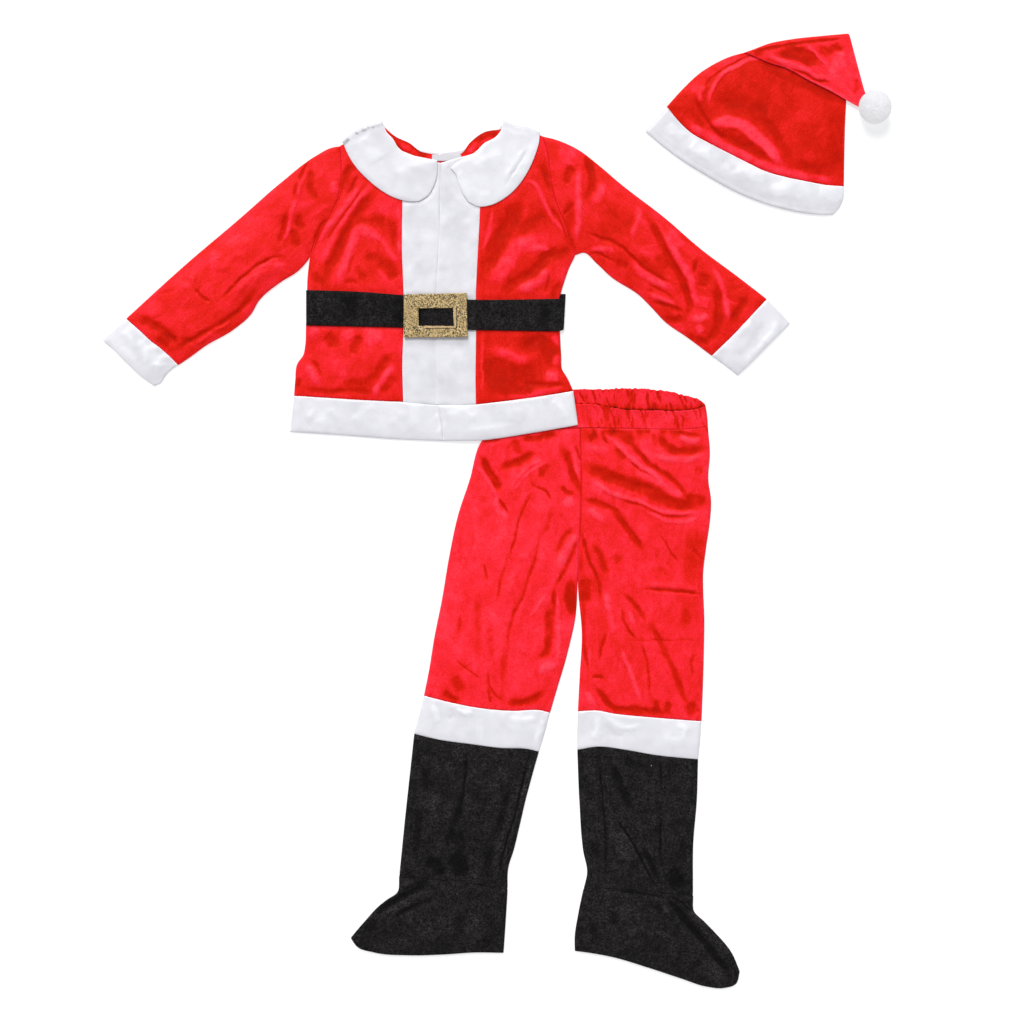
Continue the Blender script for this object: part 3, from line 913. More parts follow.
def cad_tops(node, panel, level):
    """Middle surface of a layer, taken from the upper face of its CAD solid."""
    tree = tree_of(node)
    v = np.linspace(panel.along[0], panel.along[-1], 30)
    u = np.linspace(panel.across[0], panel.across[-1], 24)
    grid_v, grid_u = np.meshgrid(np.clip(v, 0.015, 0.985), np.clip(u, 0.03, 0.97), indexing="ij")
    places = panel.patch.at(grid_u, grid_v) * MM + SHIFT
    tops = np.zeros(grid_u.shape)
    for index in np.ndindex(tops.shape):
        x, y = places[index]
        hit = tree.ray_cast(Vector((x, y, ABOVE_SUIT)), Vector((0, 0, -1)))[0]
        if hit is None:
            hit = tree.find_nearest(Vector((x, y, AMONG_LAYERS)))[0]
        tops[index] = hit.z / MM
    for axis in (0, 1, 0, 1):
        wide = np.pad(tops, [(1, 1) if k == axis else (0, 0) for k in (0, 1)], mode="edge")
        tops = (np.take(wide, range(tops.shape[axis]), axis)
                + 2 * tops + np.take(wide, range(2, tops.shape[axis] + 2), axis)) / 4
    rows = np.stack([np.interp(panel.across, u, row) for row in tops])
    fine = np.stack([np.interp(panel.along, v, rows[:, k]) for k in range(rows.shape[1])], axis=1)
    return fine - level


# The pieces that each one is sewn to, at the same height.
MEETS = {
    "waistband_front": ("trouser_right_front", "trouser_left_front"),
    "hat_brim": ("hat_front",),
}
for side, other in (("right", "left"), ("left", "right")):
    MEETS.update({
        f"jacket_front_{side}": (f"placket_{side}", f"hem_band_front_{side}", f"sleeve_{side}"),
        f"placket_{side}": (f"jacket_front_{side}", f"placket_{other}",
                            f"hem_band_front_{side}"),
        f"hem_band_front_{side}": (f"jacket_front_{side}", f"placket_{side}",
                                   f"hem_band_front_{other}"),
        f"sleeve_{side}": (f"jacket_front_{side}", f"cuff_{side}"),
        f"cuff_{side}": (f"sleeve_{side}",),
        f"trouser_{side}_front": ("waistband_front", f"trouser_{other}_front",
                                  f"knee_band_{side}"),
        f"knee_band_{side}": (f"trouser_{side}_front", f"boot_shaft_{side}"),
        f"boot_shaft_{side}": (f"knee_band_{side}", f"boot_foot_{side}"),
        f"boot_foot_{side}": (f"boot_shaft_{side}",),
    })


def tree_of(node):
    """A search tree over a CAD node's faces."""
    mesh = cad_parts[node].data
    return BVHTree.FromPolygons([v.co for v in mesh.vertices], [p.vertices for p in mesh.polygons])


def settle(panel, node, reach=9):
    """Brings each sewn edge of a panel to the height midway between the pieces that meet there."""
    trees = [tree_of(name) for name in (node,) + MEETS[node]]
    for name, place in (("start", np.s_[0, :]), ("end", np.s_[-1, :]),
                        ("left", np.s_[:, 0]), ("right", np.s_[:, -1])):
        points = panel.xy[place] * MM + SHIFT
        wanted = panel.z[place].copy()
        met = np.zeros(len(points))
        for index, (x, y) in enumerate(points):
            found = []
            for tree in trees:
                spot = tree.find_nearest(Vector((x, y, AMONG_LAYERS)))[0]
                if math.hypot(spot.x - x, spot.y - y) < SEAM_REACH:
                    found.append(spot.z / MM - FLOOR_LAYER)
            if len(found) > 1 and max(found) - min(found) < 3:
                wanted[index] = sum(found) / len(found)
                met[index] = 1
        window = np.ones(9) / 9
        change = np.pad((wanted - panel.z[place]) * met, 4, mode="edge")
        change = np.convolve(change, window, "valid")
        change = change[:, None] if name in ("left", "right") else change
        panel.z = panel.z + change * np.exp(-getattr(panel, name) / reach)


def gathers(panel, edge, pitch, depth, reach, seed):
    """Small pleats that run out from one edge of a panel."""
    distance = getattr(panel, edge)
    if edge in ("left", "right"):
        along = panel.v * panel.patch.lengths(0.5)
    else:
        along = panel.u * panel.patch.widths(0.5)
    waves = ripple(along / pitch + 0.02 * distance, distance / (3.5 * pitch), seed)
    return depth * waves * np.exp(-distance / reach) * ease(distance / 2.0 + 0.25)


def rolled(distance, drop, radius):
    """How far a surface falls as it rolls over an edge."""
    x = np.clip(1 - distance / radius, 0, 1)
    return drop * (1 - np.sqrt(1 - x * x))


def crowned(distance, height, reach):
    """How far a panel swells away from an edge."""
    return height * (1 - np.exp(-distance / reach))


def small_creases(panel, seed):
    """Short random creases, most of them along the panel."""
    rng = np.random.default_rng(seed)
    count = int(area_of(panel.xy) / 1000)
    middle = panel.xy[:, panel.xy.shape[1] // 2]
    grain = middle[-1] - middle[0]
    lie = math.atan2(grain[1], grain[0])
    made = []
    for _ in range(count):
        row, column = rng.integers(len(panel.xy)), rng.integers(panel.xy.shape[1])
        x, y = panel.xy[row, column]
        angle = lie + rng.normal(0, 0.55)
        bend = rng.normal(0, 0.25)
        length = rng.uniform(9, 26)
        line = [(x + t * length * math.cos(angle + bend * t),
                 y + t * length * math.sin(angle + bend * t)) for t in (-0.5, 0, 0.5)]
        sign = rng.choice((-1, 1), p=(0.6, 0.4))
        size = 0.1 * sign * rng.uniform(0.35, 1)
        made.append((rng.uniform(1.8, 3.2), 3 * size, 2.4 * size, *sum(line, ())))
    return made


def facing(panel):
    """How far each point of a panel slopes towards the side that the light comes from."""
    xv, xu = np.gradient(panel.x)
    yv, yu = np.gradient(panel.y)
    zv, zu = np.gradient(panel.z)
    size = xu * yv - xv * yu
    size = np.where(np.abs(size) < 1e-6, 1e-6, size)
    down_x = (zu * yv - zv * yu) / size
    down_y = (xu * zv - xv * zu) / size
    return -(down_x * LIT_FROM[0] + down_y * LIT_FROM[1])


def velour_relief(panel, folds, seed, clear=1.0, lie=0.0):
    """Folds, slack and brushed pile of a velour panel; `lie` is how light its pile lies."""
    x, y = panel.x, panel.y
    height, tone = folded(panel.xy, (*folds, *small_creases(panel, seed + 9)))
    soft = (0.55 * ripple(x / 38, y / 33, seed) + 0.22 * ripple(x / 17, y / 15, seed + 1)
            + 0.07 * ripple(x / 8, y / 7, seed + 2))
    calm = ease(panel.edge / 5) * clear
    panel.z += (sizes().fold_strength * (1.2 * height + soft)
                + crowned(panel.edge, sizes().crown, 9)) * calm
    patches = (0.18 * ripple(x / 30, y / 34, seed + 3) + 0.10 * ripple(x / 12, y / 13, seed + 4)
               + 0.05 * ripple(x / 5, y / 6, seed + 5))
    slope = np.clip(1.2 * facing(panel), -0.4, 0.4) * ease(panel.edge / 6)
    panel.tone += np.tanh(tone * (0.4 + 0.6 * ease(panel.edge / 4)) + slope
                          + sizes().crush * patches + lie)
    panel.tone += 0.45 * np.exp(-(np.minimum(panel.left, panel.right) / 1.6) ** 2)
    panel.z -= rolled(panel.edge, 0.12, 1.4)


def satin_relief(panel, folds, seed, clear=1.0, slack=0.3):
    """Folds and slack of a satin panel."""
    x, y = panel.x, panel.y
    height, tone = folded(panel.xy, folds, 2.4, 4.5)
    soft = ripple(x / 24, y / 21, seed) + 0.4 * ripple(x / 9, y / 10, seed + 1)
    calm = ease(panel.edge / 3) * clear
    panel.z += (sizes().fold_strength * (0.65 * height + slack * soft)
                + crowned(panel.edge, 0.5, 5)) * calm
    panel.z -= rolled(panel.edge, 0.15, 1.3)
    slope = np.clip(facing(panel), -0.3, 0.3) * ease(panel.edge / 5)
    panel.tone += np.tanh(0.8 * tone + 1.3 * slope)


def felt_relief(panel, folds, seed):
    """Folds and slack of a felt panel."""
    x, y = panel.x, panel.y
    height, tone = folded(panel.xy, folds, 0.5, 4.0)
    soft = 0.45 * ripple(x / 40, y / 44, seed) + 0.18 * ripple(x / 16, y / 18, seed + 1)
    calm = ease(panel.edge / 4)
    panel.z += (sizes().fold_strength * (height + soft) + crowned(panel.edge, 0.6, 8)) * calm
    slope = np.clip(facing(panel), -0.3, 0.3) * ease(panel.edge / 5)
    panel.tone += np.tanh(tone + 1.6 * slope)
    panel.z -= rolled(panel.edge, 0.25, 1.4)


# ---- meshes ----

def cloth_piece(name, points, kind, tone, edge, closed=False, face_up=True):
    """A piece of cloth from a grid of points in millimetres, with its thickness on both sides."""
    rows, columns = points.shape[:2]
    surface = bmesh.new()
    bmesh.ops.create_grid(surface, x_segments=columns - 1, y_segments=rows - 1, size=1)
    mesh = bpy.data.meshes.new(name)
    surface.to_mesh(mesh)
    count = len(mesh.vertices)
    flat = np.empty(count * 3, np.float32)
    mesh.vertices.foreach_get("co", flat)
    flat = flat.reshape(-1, 3)
    column = np.rint((flat[:, 0] + 1) / 2 * (columns - 1)).astype(int)
    row = np.rint((flat[:, 1] + 1) / 2 * (rows - 1)).astype(int)
    place = points[row, column].copy()
    place[:, :2] += np.array(SHIFT) / MM
    mesh.vertices.foreach_set("co", (place * MM).astype(np.float32).ravel())
    for label, values in (("tone", tone), ("edge", edge)):
        layer = mesh.attributes.new(label, "FLOAT", "POINT")
        shown = np.zeros(count) if values is None else values[row, column]
        layer.data.foreach_set("value", shown.astype(np.float32))
    steps = [np.linalg.norm(np.diff(points, axis=k), axis=2).mean(1 - k) for k in (0, 1)]
    length, width = (np.concatenate([[0], np.cumsum(step)]) for step in steps)
    corner = np.empty(len(mesh.loops), np.int32)
    mesh.loops.foreach_get("vertex_index", corner)
    chart = np.stack([width[column[corner]], length[row[corner]]], axis=1) * MM
    mesh.uv_layers.new(name="cloth").data.foreach_set("uv", chart.astype(np.float32).ravel())
    surface.clear()
    surface.from_mesh(mesh)
    if closed:
        bmesh.ops.remove_doubles(surface, verts=surface.verts[:], dist=0.01 * MM)
        bmesh.ops.recalc_face_normals(surface, faces=surface.faces[:])
    else:
        surface.normal_update()
        middle = points[rows // 4: rows // 4 + 2, columns // 2: columns // 2 + 2]
        turn = np.cross(middle[0, 1] - middle[0, 0], middle[1, 0] - middle[0, 0])[2]
        if (turn > 0) != face_up:
            bmesh.ops.reverse_faces(surface, faces=surface.faces[:])
    surface.to_mesh(mesh)
    surface.free()
    piece = finished_piece(name, mesh, kind.slot)
    thin_rim(piece)
    wall = piece.modifiers.new("Cloth", "SOLIDIFY")
    wall.thickness = kind.thickness * MM
    wall.offset = 0
    wall.vertex_group = "inner"
    wall.thickness_vertex_group = RIM_THINNESS
    return piece


def finished_piece(name, mesh, slot):
    """The object of a mesh, smooth and in its slot's material."""
    mesh.shade_smooth()
    mesh.materials.append(finish(slot))
    piece = bpy.data.objects.new(name, mesh)
    bpy.context.scene.collection.objects.link(piece)
    return piece


def solid_piece(name, surface, slot):
    """The object of a modelled solid."""
    mesh = bpy.data.meshes.new(name)
    surface.to_mesh(mesh)
    surface.free()
    return finished_piece(name, mesh, slot)


def thin_rim(piece):
    """Marks the points inside the free edges, so that the cloth thins towards them."""
    surface = bmesh.new()
    surface.from_mesh(piece.data)
    rim = {v.index for v in surface.verts if v.is_boundary}
    surface.free()
    group = piece.vertex_groups.new(name="inner")
    group.add([v.index for v in piece.data.vertices if v.index not in rim], 1.0, "REPLACE")


def stack(panel):
    """A panel's points with their heights."""
    return np.concatenate([panel.xy, panel.z[..., None]], axis=-1)


def unit(vectors):
    """Vectors of length 1."""
    return vectors / np.maximum(np.linalg.norm(vectors, axis=-1, keepdims=True), 1e-9)


def ring_round(panel):
    """A tube from its upper wall: down over each side and back along the floor."""
    top, low = stack(panel), FLOOR_LAYER
    parts, tones, edges = [top], [panel.tone], [panel.edge]

    def side(edge, inner, order):
        out = unit(edge[:, :2] - inner[:, :2])
        radius = (edge[:, 2:] - low) / 2
        for k in order:
            angle = math.pi * k / (SIDE_STEPS + 1)
            xy = edge[:, :2] + out * radius * math.sin(angle)
            z = low + radius * (1 + math.cos(angle))
            parts.append(np.concatenate([xy, z], axis=1)[:, None])
            tones.append(np.zeros((len(edge), 1)))
            edges.append(np.full((len(edge), 1), 3.0))

    side(top[:, -1], top[:, -2], range(1, SIDE_STEPS + 1))
    u = np.linspace(panel.across[-1], panel.across[0], max(panel.z.shape[1] // 5, 5))
    v, u = np.meshgrid(panel.along, u, indexing="ij")
    floor = panel.patch.at(u, v)
    parts.append(np.concatenate([floor, np.full(floor.shape[:2] + (1,), low)], axis=-1))
    tones.append(np.zeros(u.shape))
    edges.append(np.full(u.shape, 8.0))
    side(top[:, 0], top[:, 1], range(SIDE_STEPS, 0, -1))
    parts.append(top[:, :1])
    tones.append(panel.tone[:, :1])
    edges.append(panel.edge[:, :1])
    return [np.concatenate(part, axis=1) for part in (parts, tones, edges)]


def turned_over(front, back, out=0.6, grow=None):
    """A layer that turns under or over along the front's last row, and goes on as the back.

    `grow` is how fully each column leans out round the fold.
    """
    grow = np.ones((front.z.shape[1], 1)) if grow is None else grow[:, None]
    top, under = stack(front), stack(back)
    along = np.gradient(top[-1, :, :2], axis=0)
    away = unit(np.stack([along[:, 1], -along[:, 0]], axis=1))
    if ((top[-1, :, :2] - top[-3, :, :2]) * away).sum() < 0:
        away = -away
    start, end = top[-1, :, 2:], under[0, :, 2:]
    arc = []
    for k in range(1, TURN_STEPS):
        angle = math.pi * k / TURN_STEPS
        lean = grow * (out + np.abs(start - end) / 2 * math.sin(angle))
        xy = top[-1, :, :2] + away * lean
        height = (start + end) / 2 + (start - end) / 2 * math.cos(angle)
        arc.append(np.concatenate([xy, height], axis=1))
    arc = np.stack(arc)
    points = np.concatenate([top, arc, under])
    none = np.zeros(arc.shape[:2])
    tone = np.concatenate([front.tone, none + front.tone[-1] * 0.5, back.tone])
    edge = np.concatenate([front.edge, none + 6, back.edge])
    return points, tone, edge


def put_away(name):
    """Removes an earlier version of a piece before it is made again."""
    if name in bpy.data.objects:
        bpy.data.objects.remove(bpy.data.objects[name])


def tie(piece, node):
    """Ties a piece to the frame in place of its CAD node."""
    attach(piece, "root")
    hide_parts(node)


def declare_padded(piece, node):
    """Ties a filled piece to the frame and states how full it is."""
    tie(piece, node)


def sew(node, kind, points, tone, edge, cut, held="laid", rests_on=(), **build):
    """Makes the cloth of one node, ties it to the frame and states the size it was cut to."""
    name = f"{node}_{kind.slot.split('_')[1]}"
    put_away(name)
    piece = cloth_piece(name, points, kind, tone, edge, **build)
    tie(piece, node)


def sew_panel(node, kind, panel, held="laid", rests_on=()):
    """Makes the cloth of a node that is one flat panel."""
    sew(node, kind, stack(panel), panel.tone, panel.edge, panel.patch.cut(), held, rests_on)


def laid_panel(node, patch, kind, **gaps):
    """A panel at the height of its CAD solid's upper face, level with what it is sewn to."""
    panel = Panel(patch, kind.cell, **gaps)
    panel.z = cad_tops(node, panel, FLOOR_LAYER)
    if node in MEETS:
        settle(panel, node)
    return panel


# ---- materials ----

class Shader:
    """Short names for the nodes of one material."""

    def __init__(self, name):
        self.material = bpy.data.materials.new(name)
        self.material.use_nodes = True
        self.tree = self.material.node_tree
        self.surface = self.tree.nodes["Principled BSDF"]
        self.place = self.node("TexCoord").outputs["Object"]
        self.chart = self.node("UVMap", uv_map="cloth").outputs["UV"]

    def node(self, kind, inputs=(), **settings):
        """A node with its settings, and values or links for its inputs."""
        made = self.tree.nodes.new("ShaderNode" + kind)
        for key, value in settings.items():
            setattr(made, key, value)
        for key, value in dict(inputs).items():
            self.feed(made.inputs[key], value)
        return made

    def feed(self, socket, value):
        """Sets or links one input."""
        if isinstance(value, bpy.types.NodeSocket):
            self.tree.links.new(value, socket)
        else:
            socket.default_value = value

    def finished(self, **values):
        """The material, once the surface shader's inputs are set or linked."""
        for key, value in values.items():
            self.feed(self.surface.inputs[key.replace("_", " ")], value)
        return self.material

    def math(self, operation, a, b):
        """One sum."""
        return self.node("Math", {0: a, 1: b}, operation=operation).outputs[0]

    def scaled(self, value, low, high, to_low, to_high):
        """A value moved from one range to another."""
        return self.node("MapRange", {0: value, 1: low, 2: high, 3: to_low, 4: to_high}).outputs[0]

    def noise(self, scale, detail=2.0, rough=0.5, twist=0.0, vector=None):
        """Noise from 0 to 1; scale is in cells a metre."""
        return self.node("TexNoise", {"Vector": vector or self.place, "Scale": scale,
                                      "Detail": detail, "Roughness": rough,
                                      "Distortion": twist}).outputs["Fac"]

    def cells(self, scale, output="Distance"):
        """Voronoi cells; scale is in cells a metre."""
        made = self.node("TexVoronoi", {"Vector": self.place, "Scale": scale})
        return made.outputs[output]

    def stretched(self, x, y):
        """Coordinates squeezed by a factor along each way of the cloth."""
        return self.node("Mapping", {"Vector": self.chart, "Scale": (x, y, 1)}).outputs[0]

    def ramp(self, value, *stops):
        """A colour ramp; each stop is a place and a colour."""
        made = self.node("ValToRGB", {0: value})
        elements = made.color_ramp.elements
        for index, (place, colour) in enumerate(stops):
            element = elements[index] if index < 2 else elements.new(place)
            element.position = place
            element.color = (*colour, 1)
        return made.outputs[0]

    def mix(self, share, a, b, blend="MIX"):
        """One colour over another."""
        made = self.node("Mix", data_type="RGBA", blend_type=blend)
        for index, value in ((0, share), (6, a), (7, b)):
            self.feed(made.inputs[index], value)
        return made.outputs[2]

    def shaded(self, colour, shade):
        """A colour made lighter or darker by a value."""
        return self.mix(1.0, colour, shade, "MULTIPLY")

    def bump(self, height, distance, strength=1.0, normal=None):
        """A bumped normal; distance is the height of the whole range, in metres."""
        inputs = {"Height": height, "Distance": distance, "Strength": strength}
        if normal:
            inputs["Normal"] = normal
        return self.node("Bump", inputs).outputs[0]

    def value(self, name):
        """A value stored on the mesh."""
        return self.node("Attribute", attribute_name=name).outputs["Fac"]


def velour_finish(name):
    """Panne velour: short pressed pile that turns light and dark as it is brushed."""
    s = Shader(name)
    chosen = colours()
    dark, middle, light = map(tuple, (chosen.velour_dark, chosen.velour, chosen.velour_light))
    swirl = s.noise(70, 3, 0.55, 0.8)
    brushed = s.noise(62, 4, 0.62, 0.6, s.stretched(1, 0.5))
    crushed = s.noise(260, 3, 0.6, 1.2)
    grain = s.noise(740, 2, 0.65)
    broken = s.scaled(s.noise(110, 3, 0.6, 0.5), 0.3, 0.7, 0.28, 0.52)
    lay = s.math("MULTIPLY", s.value("tone"), broken)
    lay = s.math("ADD", lay, s.scaled(brushed, 0.42, 0.58, 0.425, 0.540))
    for pattern, weight in ((swirl, 0.12), (crushed, 0.16), (grain, 0.80)):
        part = s.math("MULTIPLY", s.math("SUBTRACT", pattern, 0.5), weight)
        lay = s.math("ADD", lay, part)
    deep = tuple(c * 0.78 for c in dark)
    glare = tuple(c * more for c, more in zip(light, (1.03, 2.9, 2.5)))
    colour = s.ramp(lay, (0.0, deep), (1.0, glare), (0.22, dark), (0.47, middle), (0.67, light))
    colour = s.shaded(colour, s.scaled(s.value("tone"), -2.6, -1.1, 0.25, 1.0))
    return s.finished(
        Base_Color=colour, Roughness=s.scaled(lay, 0.2, 0.9, 0.55, 0.36),
        Specular_IOR_Level=0.4, Specular_Tint=(1.0, 0.16, 0.10, 1.0),
        Sheen_Weight=0.18, Sheen_Roughness=0.4, Sheen_Tint=(1.0, 0.06, 0.03, 1.0),
        Normal=s.bump(grain, 0.00035, 0.6, s.bump(crushed, 0.0006, 0.5)))


def satin_finish(name):
    """Shiny white satin with fine threads and small puckers."""
    s = Shader(name)
    threads = s.noise(1.0, 1, 0.5, 0, s.stretched(5200, 900))
    cross = s.noise(1.0, 1, 0.5, 0, s.stretched(900, 5200))
    cloud = s.noise(60, 3, 0.55, 0.4)
    pucker = s.noise(170, 2, 0.5, 0.6)
    shade = s.scaled(cloud, 0.36, 0.64, 0.96, 1.03)
    for pattern, *ends in ((s.value("edge"), 0.0, 1.7, 1.30, 1.0),
                           (s.value("tone"), -3.0, -1.0, 0.28, 1.0),
                           (threads, 0.3, 0.7, 0.98, 1.02),
                           (s.value("tone"), -1.0, 1.0, 0.90, 1.14)):
        shade = s.math("MULTIPLY", shade, s.scaled(pattern, *ends))
    weave = s.math("ADD", threads, cross)
    return s.finished(
        Base_Color=s.shaded((*colours().satin, 1), shade),
        Roughness=s.scaled(cloud, 0.3, 0.7, 0.33, 0.45),
        Specular_IOR_Level=0.6, Sheen_Weight=0.08, Sheen_Roughness=0.4, Anisotropic=0.35,
        Normal=s.bump(weave, 0.00006, 0.5, s.bump(pucker, 0.0006, 0.22)))


def felt_finish(name):
    """Matt black brushed cloth with a little lint."""
    s = Shader(name)
    cloud = s.noise(45, 3, 0.6, 0.3)
    blotch = s.noise(120, 5, 0.75, 0.4)
    mottle = s.noise(420, 3, 0.65, 0.4)
    fuzz = s.noise(1100, 2, 0.7)
    shade = s.scaled(s.value("tone"), -1.0, 1.0, 0.22, 1.60)
    for pattern, low, high in ((cloud, 0.66, 1.34), (blotch, 0.50, 1.50), (mottle, 0.22, 1.78),
                               (fuzz, 0.10, 1.95)):
        shade = s.math("MULTIPLY", shade, s.scaled(pattern, 0.35, 0.65, low, high))
    colour = s.shaded((*colours().felt, 1), shade)
    chosen = s.node("SeparateColor", {0: s.cells(150, "Color")}).outputs[0]
    specks = s.math("MULTIPLY", s.math("LESS_THAN", s.cells(150), 0.11),
                    s.math("GREATER_THAN", chosen, 0.993))
    colour = s.mix(s.math("MULTIPLY", specks, 0.6), colour, (0.45, 0.42, 0.40, 1))
    return s.finished(
        Base_Color=colour, Roughness=s.scaled(cloud, 0.3, 0.7, 0.80, 0.95),
        Specular_IOR_Level=0.10, Sheen_Weight=0.03, Sheen_Roughness=0.5,
        Sheen_Tint=(0.8, 0.76, 0.76, 1.0),
        Normal=s.bump(fuzz, 0.0004, 0.5, s.bump(mottle, 0.0008, 0.6)))


def glitter_finish(name):
    """Foam covered with small gold flakes."""
    s = Shader(name)
    base = tuple(colours().glitter)

    def tinted(*factors):
        return tuple(min(c * more, 1) for c, more in zip(base, factors))

    flakes = s.node("SeparateColor", {0: s.cells(900, "Color")})
    bright = flakes.outputs[0]
    cloud = s.noise(55, 2, 0.5)
    colour = s.ramp(bright, (0.0, tinted(0.10, 0.10, 0.10)), (1.0, tinted(1.7, 1.8, 2.6)),
                    (0.37, tinted(0.42, 0.42, 0.42)), (0.50, base), (0.84, tinted(1.5, 1.5, 1.5)))
    colour = s.mix(s.scaled(cloud, 0.54, 0.66, 0.0, 0.5), colour, (*base, 1))
    rim = s.scaled(s.value("tone"), 0.3, 0.8, 0.0, 0.9)
    colour = s.mix(rim, colour, (*tinted(1.35, 1.30, 1.6), 1))
    return s.finished(
        Base_Color=s.shaded(colour, s.scaled(s.value("tone"), -1.0, 0.0, 0.12, 1.0)),
        Metallic=0.45, Roughness=s.scaled(flakes.outputs[1], 0, 1, 0.28, 0.65),
        Specular_IOR_Level=0.5, Normal=s.bump(bright, 0.0004, 0.7))


def fluff_finish(name):
    """The pompom's white fibres, darker at their roots."""
    s = Shader(name)
    strands = s.noise(900, 2, 0.6)
    shade = s.math("MULTIPLY", s.scaled(s.value("tone"), 0.0, 1.0, 0.93, 1.0),
                   s.scaled(strands, 0.3, 0.7, 0.93, 1.05))
    return s.finished(
        Base_Color=s.shaded((*colours().fluff, 1), shade),
        Roughness=s.scaled(strands, 0.3, 0.7, 0.8, 0.95),
        Emission_Color=(0.97, 0.97, 1.0, 1.0), Emission_Strength=0.60,
        Specular_IOR_Level=0.15, Sheen_Weight=0.3, Sheen_Roughness=0.5,
        Normal=s.bump(strands, 0.0003, 0.35))


def tape_finish(name):
    """Plain woven tape."""
    s = Shader(name)
    weave = s.noise(1.0, 1, 0.5, 0, s.stretched(3200, 600))
    cloud = s.noise(90, 2, 0.5)
    return s.finished(
        Base_Color=s.shaded((*colours().label, 1), s.scaled(weave, 0.3, 0.7, 0.93, 1.03)),
        Roughness=s.scaled(cloud, 0.3, 0.7, 0.5, 0.65), Specular_IOR_Level=0.4,
        Sheen_Weight=0.1, Normal=s.bump(weave, 0.0002, 0.5))


FINISHES = {
    RED: velour_finish,
    WHITE: satin_finish,
    BLACK: felt_finish,
    "gold_foam": glitter_finish,
    "pompom_fluff": fluff_finish,
    "label_tape": tape_finish,
}


def finish(slot):
    """The material of a slot, made once."""
    name = slot + "_finish"
    return bpy.data.materials.get(name) or FINISHES[slot](name)


# ---- jacket ----

def under_belt_and_collar(xy, margin=7):
    """0 where the belt or the collar lies on the fronts, 1 away from them."""
    clear = clear_of(xy, belt_outline(), margin)
    for side in ("right", "left"):
        clear = clear * clear_of(xy, collar_outline(side), margin)
    return clear


class SANTA_OT_jacket_fronts(bpy.types.Operator):
    """Builds the jacket's two velour fronts"""

    bl_idname = "santa_suit.jacket_fronts"
    bl_label = "Jacket fronts"

    def execute(self, context):
        for side, folds, outer, seed, lie, sink in (("right", JACKET_RIGHT, "left", 11, 0.05, 0),
                                                    ("left", JACKET_LEFT, "right", 23, -0.1, 0.28)):
            node = f"jacket_front_{side}"
            panel = laid_panel(node, outline(node), VELOUR)
            lie = lie - sink * ease((BELOW_BELT - panel.y) / 30)
            velour_relief(panel, folds, seed, under_belt_and_collar(panel.xy), lie)
            below_armhole = ease((ARMHOLE_END - panel.y) / 12)
            panel.z -= rolled(getattr(panel, outer), 1.15, SIDE_ROLL) * below_armhole
            sew_panel(node, VELOUR, panel, rests_on=["jacket_back"])
        return {"FINISHED"}


class SANTA_OT_jacket_back(bpy.types.Operator):
    """Builds the jacket's velour back"""

    bl_idname = "santa_suit.jacket_back"
    bl_label = "Jacket back"

    def execute(self, context):
        panel = laid_panel("jacket_back", outline("jacket_back"), VELOUR_BACK, sides=UNDER_GAP)
        x, y = panel.x, panel.y
        neck_right, neck_left = NECK_SIDES
        neck = ease((y - NECK_LOW) / 8) * ease((x - neck_right) / 8) * ease((neck_left - x) / 8)
        turn = np.arctan2(y - NECK_CENTRE[1], x - NECK_CENTRE[0]) * 16
        height, tone = folded(panel.xy, NECK_FOLDS)
        panel.z += 0.5 * neck * np.clip(height, -0.6, 1.2)
        panel.tone = 0.25 * ripple(x / 12, y / 12, 5)
        panel.tone += neck * (0.5 * ripple(turn, y / 40, 6) + tone - 0.3)
        panel.tone -= neck * 0.9 * np.exp(-panel.end / 1.6)
        sew_panel("jacket_back", VELOUR_BACK, panel, rests_on=["collar_right", "belt_strap"])
        return {"FINISHED"}


class SANTA_OT_plackets(bpy.types.Operator):
    """Builds the two satin plackets down the jacket's front"""

    bl_idname = "santa_suit.plackets"
    bl_label = "Plackets"

    def execute(self, context):
        for side, outer, seed in (("right", "left", 31), ("left", "right", 37)):
            node = f"placket_{side}"
            panel = laid_panel(node, outline(node), SATIN)
            clear = under_belt_and_collar(panel.xy, 6)
            satin_relief(panel, PLACKET_FOLDS, seed, clear, 0.6)
            panel.tone += 0.35 * ripple(panel.x / 21, panel.y / 33, seed + 7)
            panel.z += clear * gathers(panel, outer, 13, 0.25, 7, seed + 5)
            sew_panel(node, SATIN, panel, rests_on=["jacket_back"])
        return {"FINISHED"}


def satin_band(panel, folds, seed, slack, *pleats):
    """Relief of a satin band; each of its pleats is an edge, pitch, depth, reach and seed."""
    satin_relief(panel, folds, seed, slack=slack)
    for pleat in pleats:
        panel.z += gathers(panel, *pleat)


class SANTA_OT_hem_bands(bpy.types.Operator):
    """Builds the satin bands round the jacket's hem"""

    bl_idname = "santa_suit.hem_bands"
    bl_label = "Hem bands"

    def execute(self, context):
        for side, outer, seed in (("right", "left", 41), ("left", "right", 47)):
            node = f"hem_band_front_{side}"
            panel = laid_panel(node, outline(node), SATIN)
            pleat = ("end", 15, sizes().gather_depth, 12, seed + 3)
            satin_band(panel, HEM_FOLDS, seed, 0.45, pleat)
            panel.z -= rolled(getattr(panel, outer), 1.0, 2.4) + rolled(panel.start, 0.4, 2.5)
            sew_panel(node, SATIN, panel, rests_on=["hem_band_back"])
        panel = laid_panel("hem_band_back", outline("hem_band_back"), SATIN_UNDER,
                           sides=UNDER_GAP, ends=0.6)
        sew_panel("hem_band_back", SATIN_UNDER, panel, rests_on=["waistband_front"])
        return {"FINISHED"}


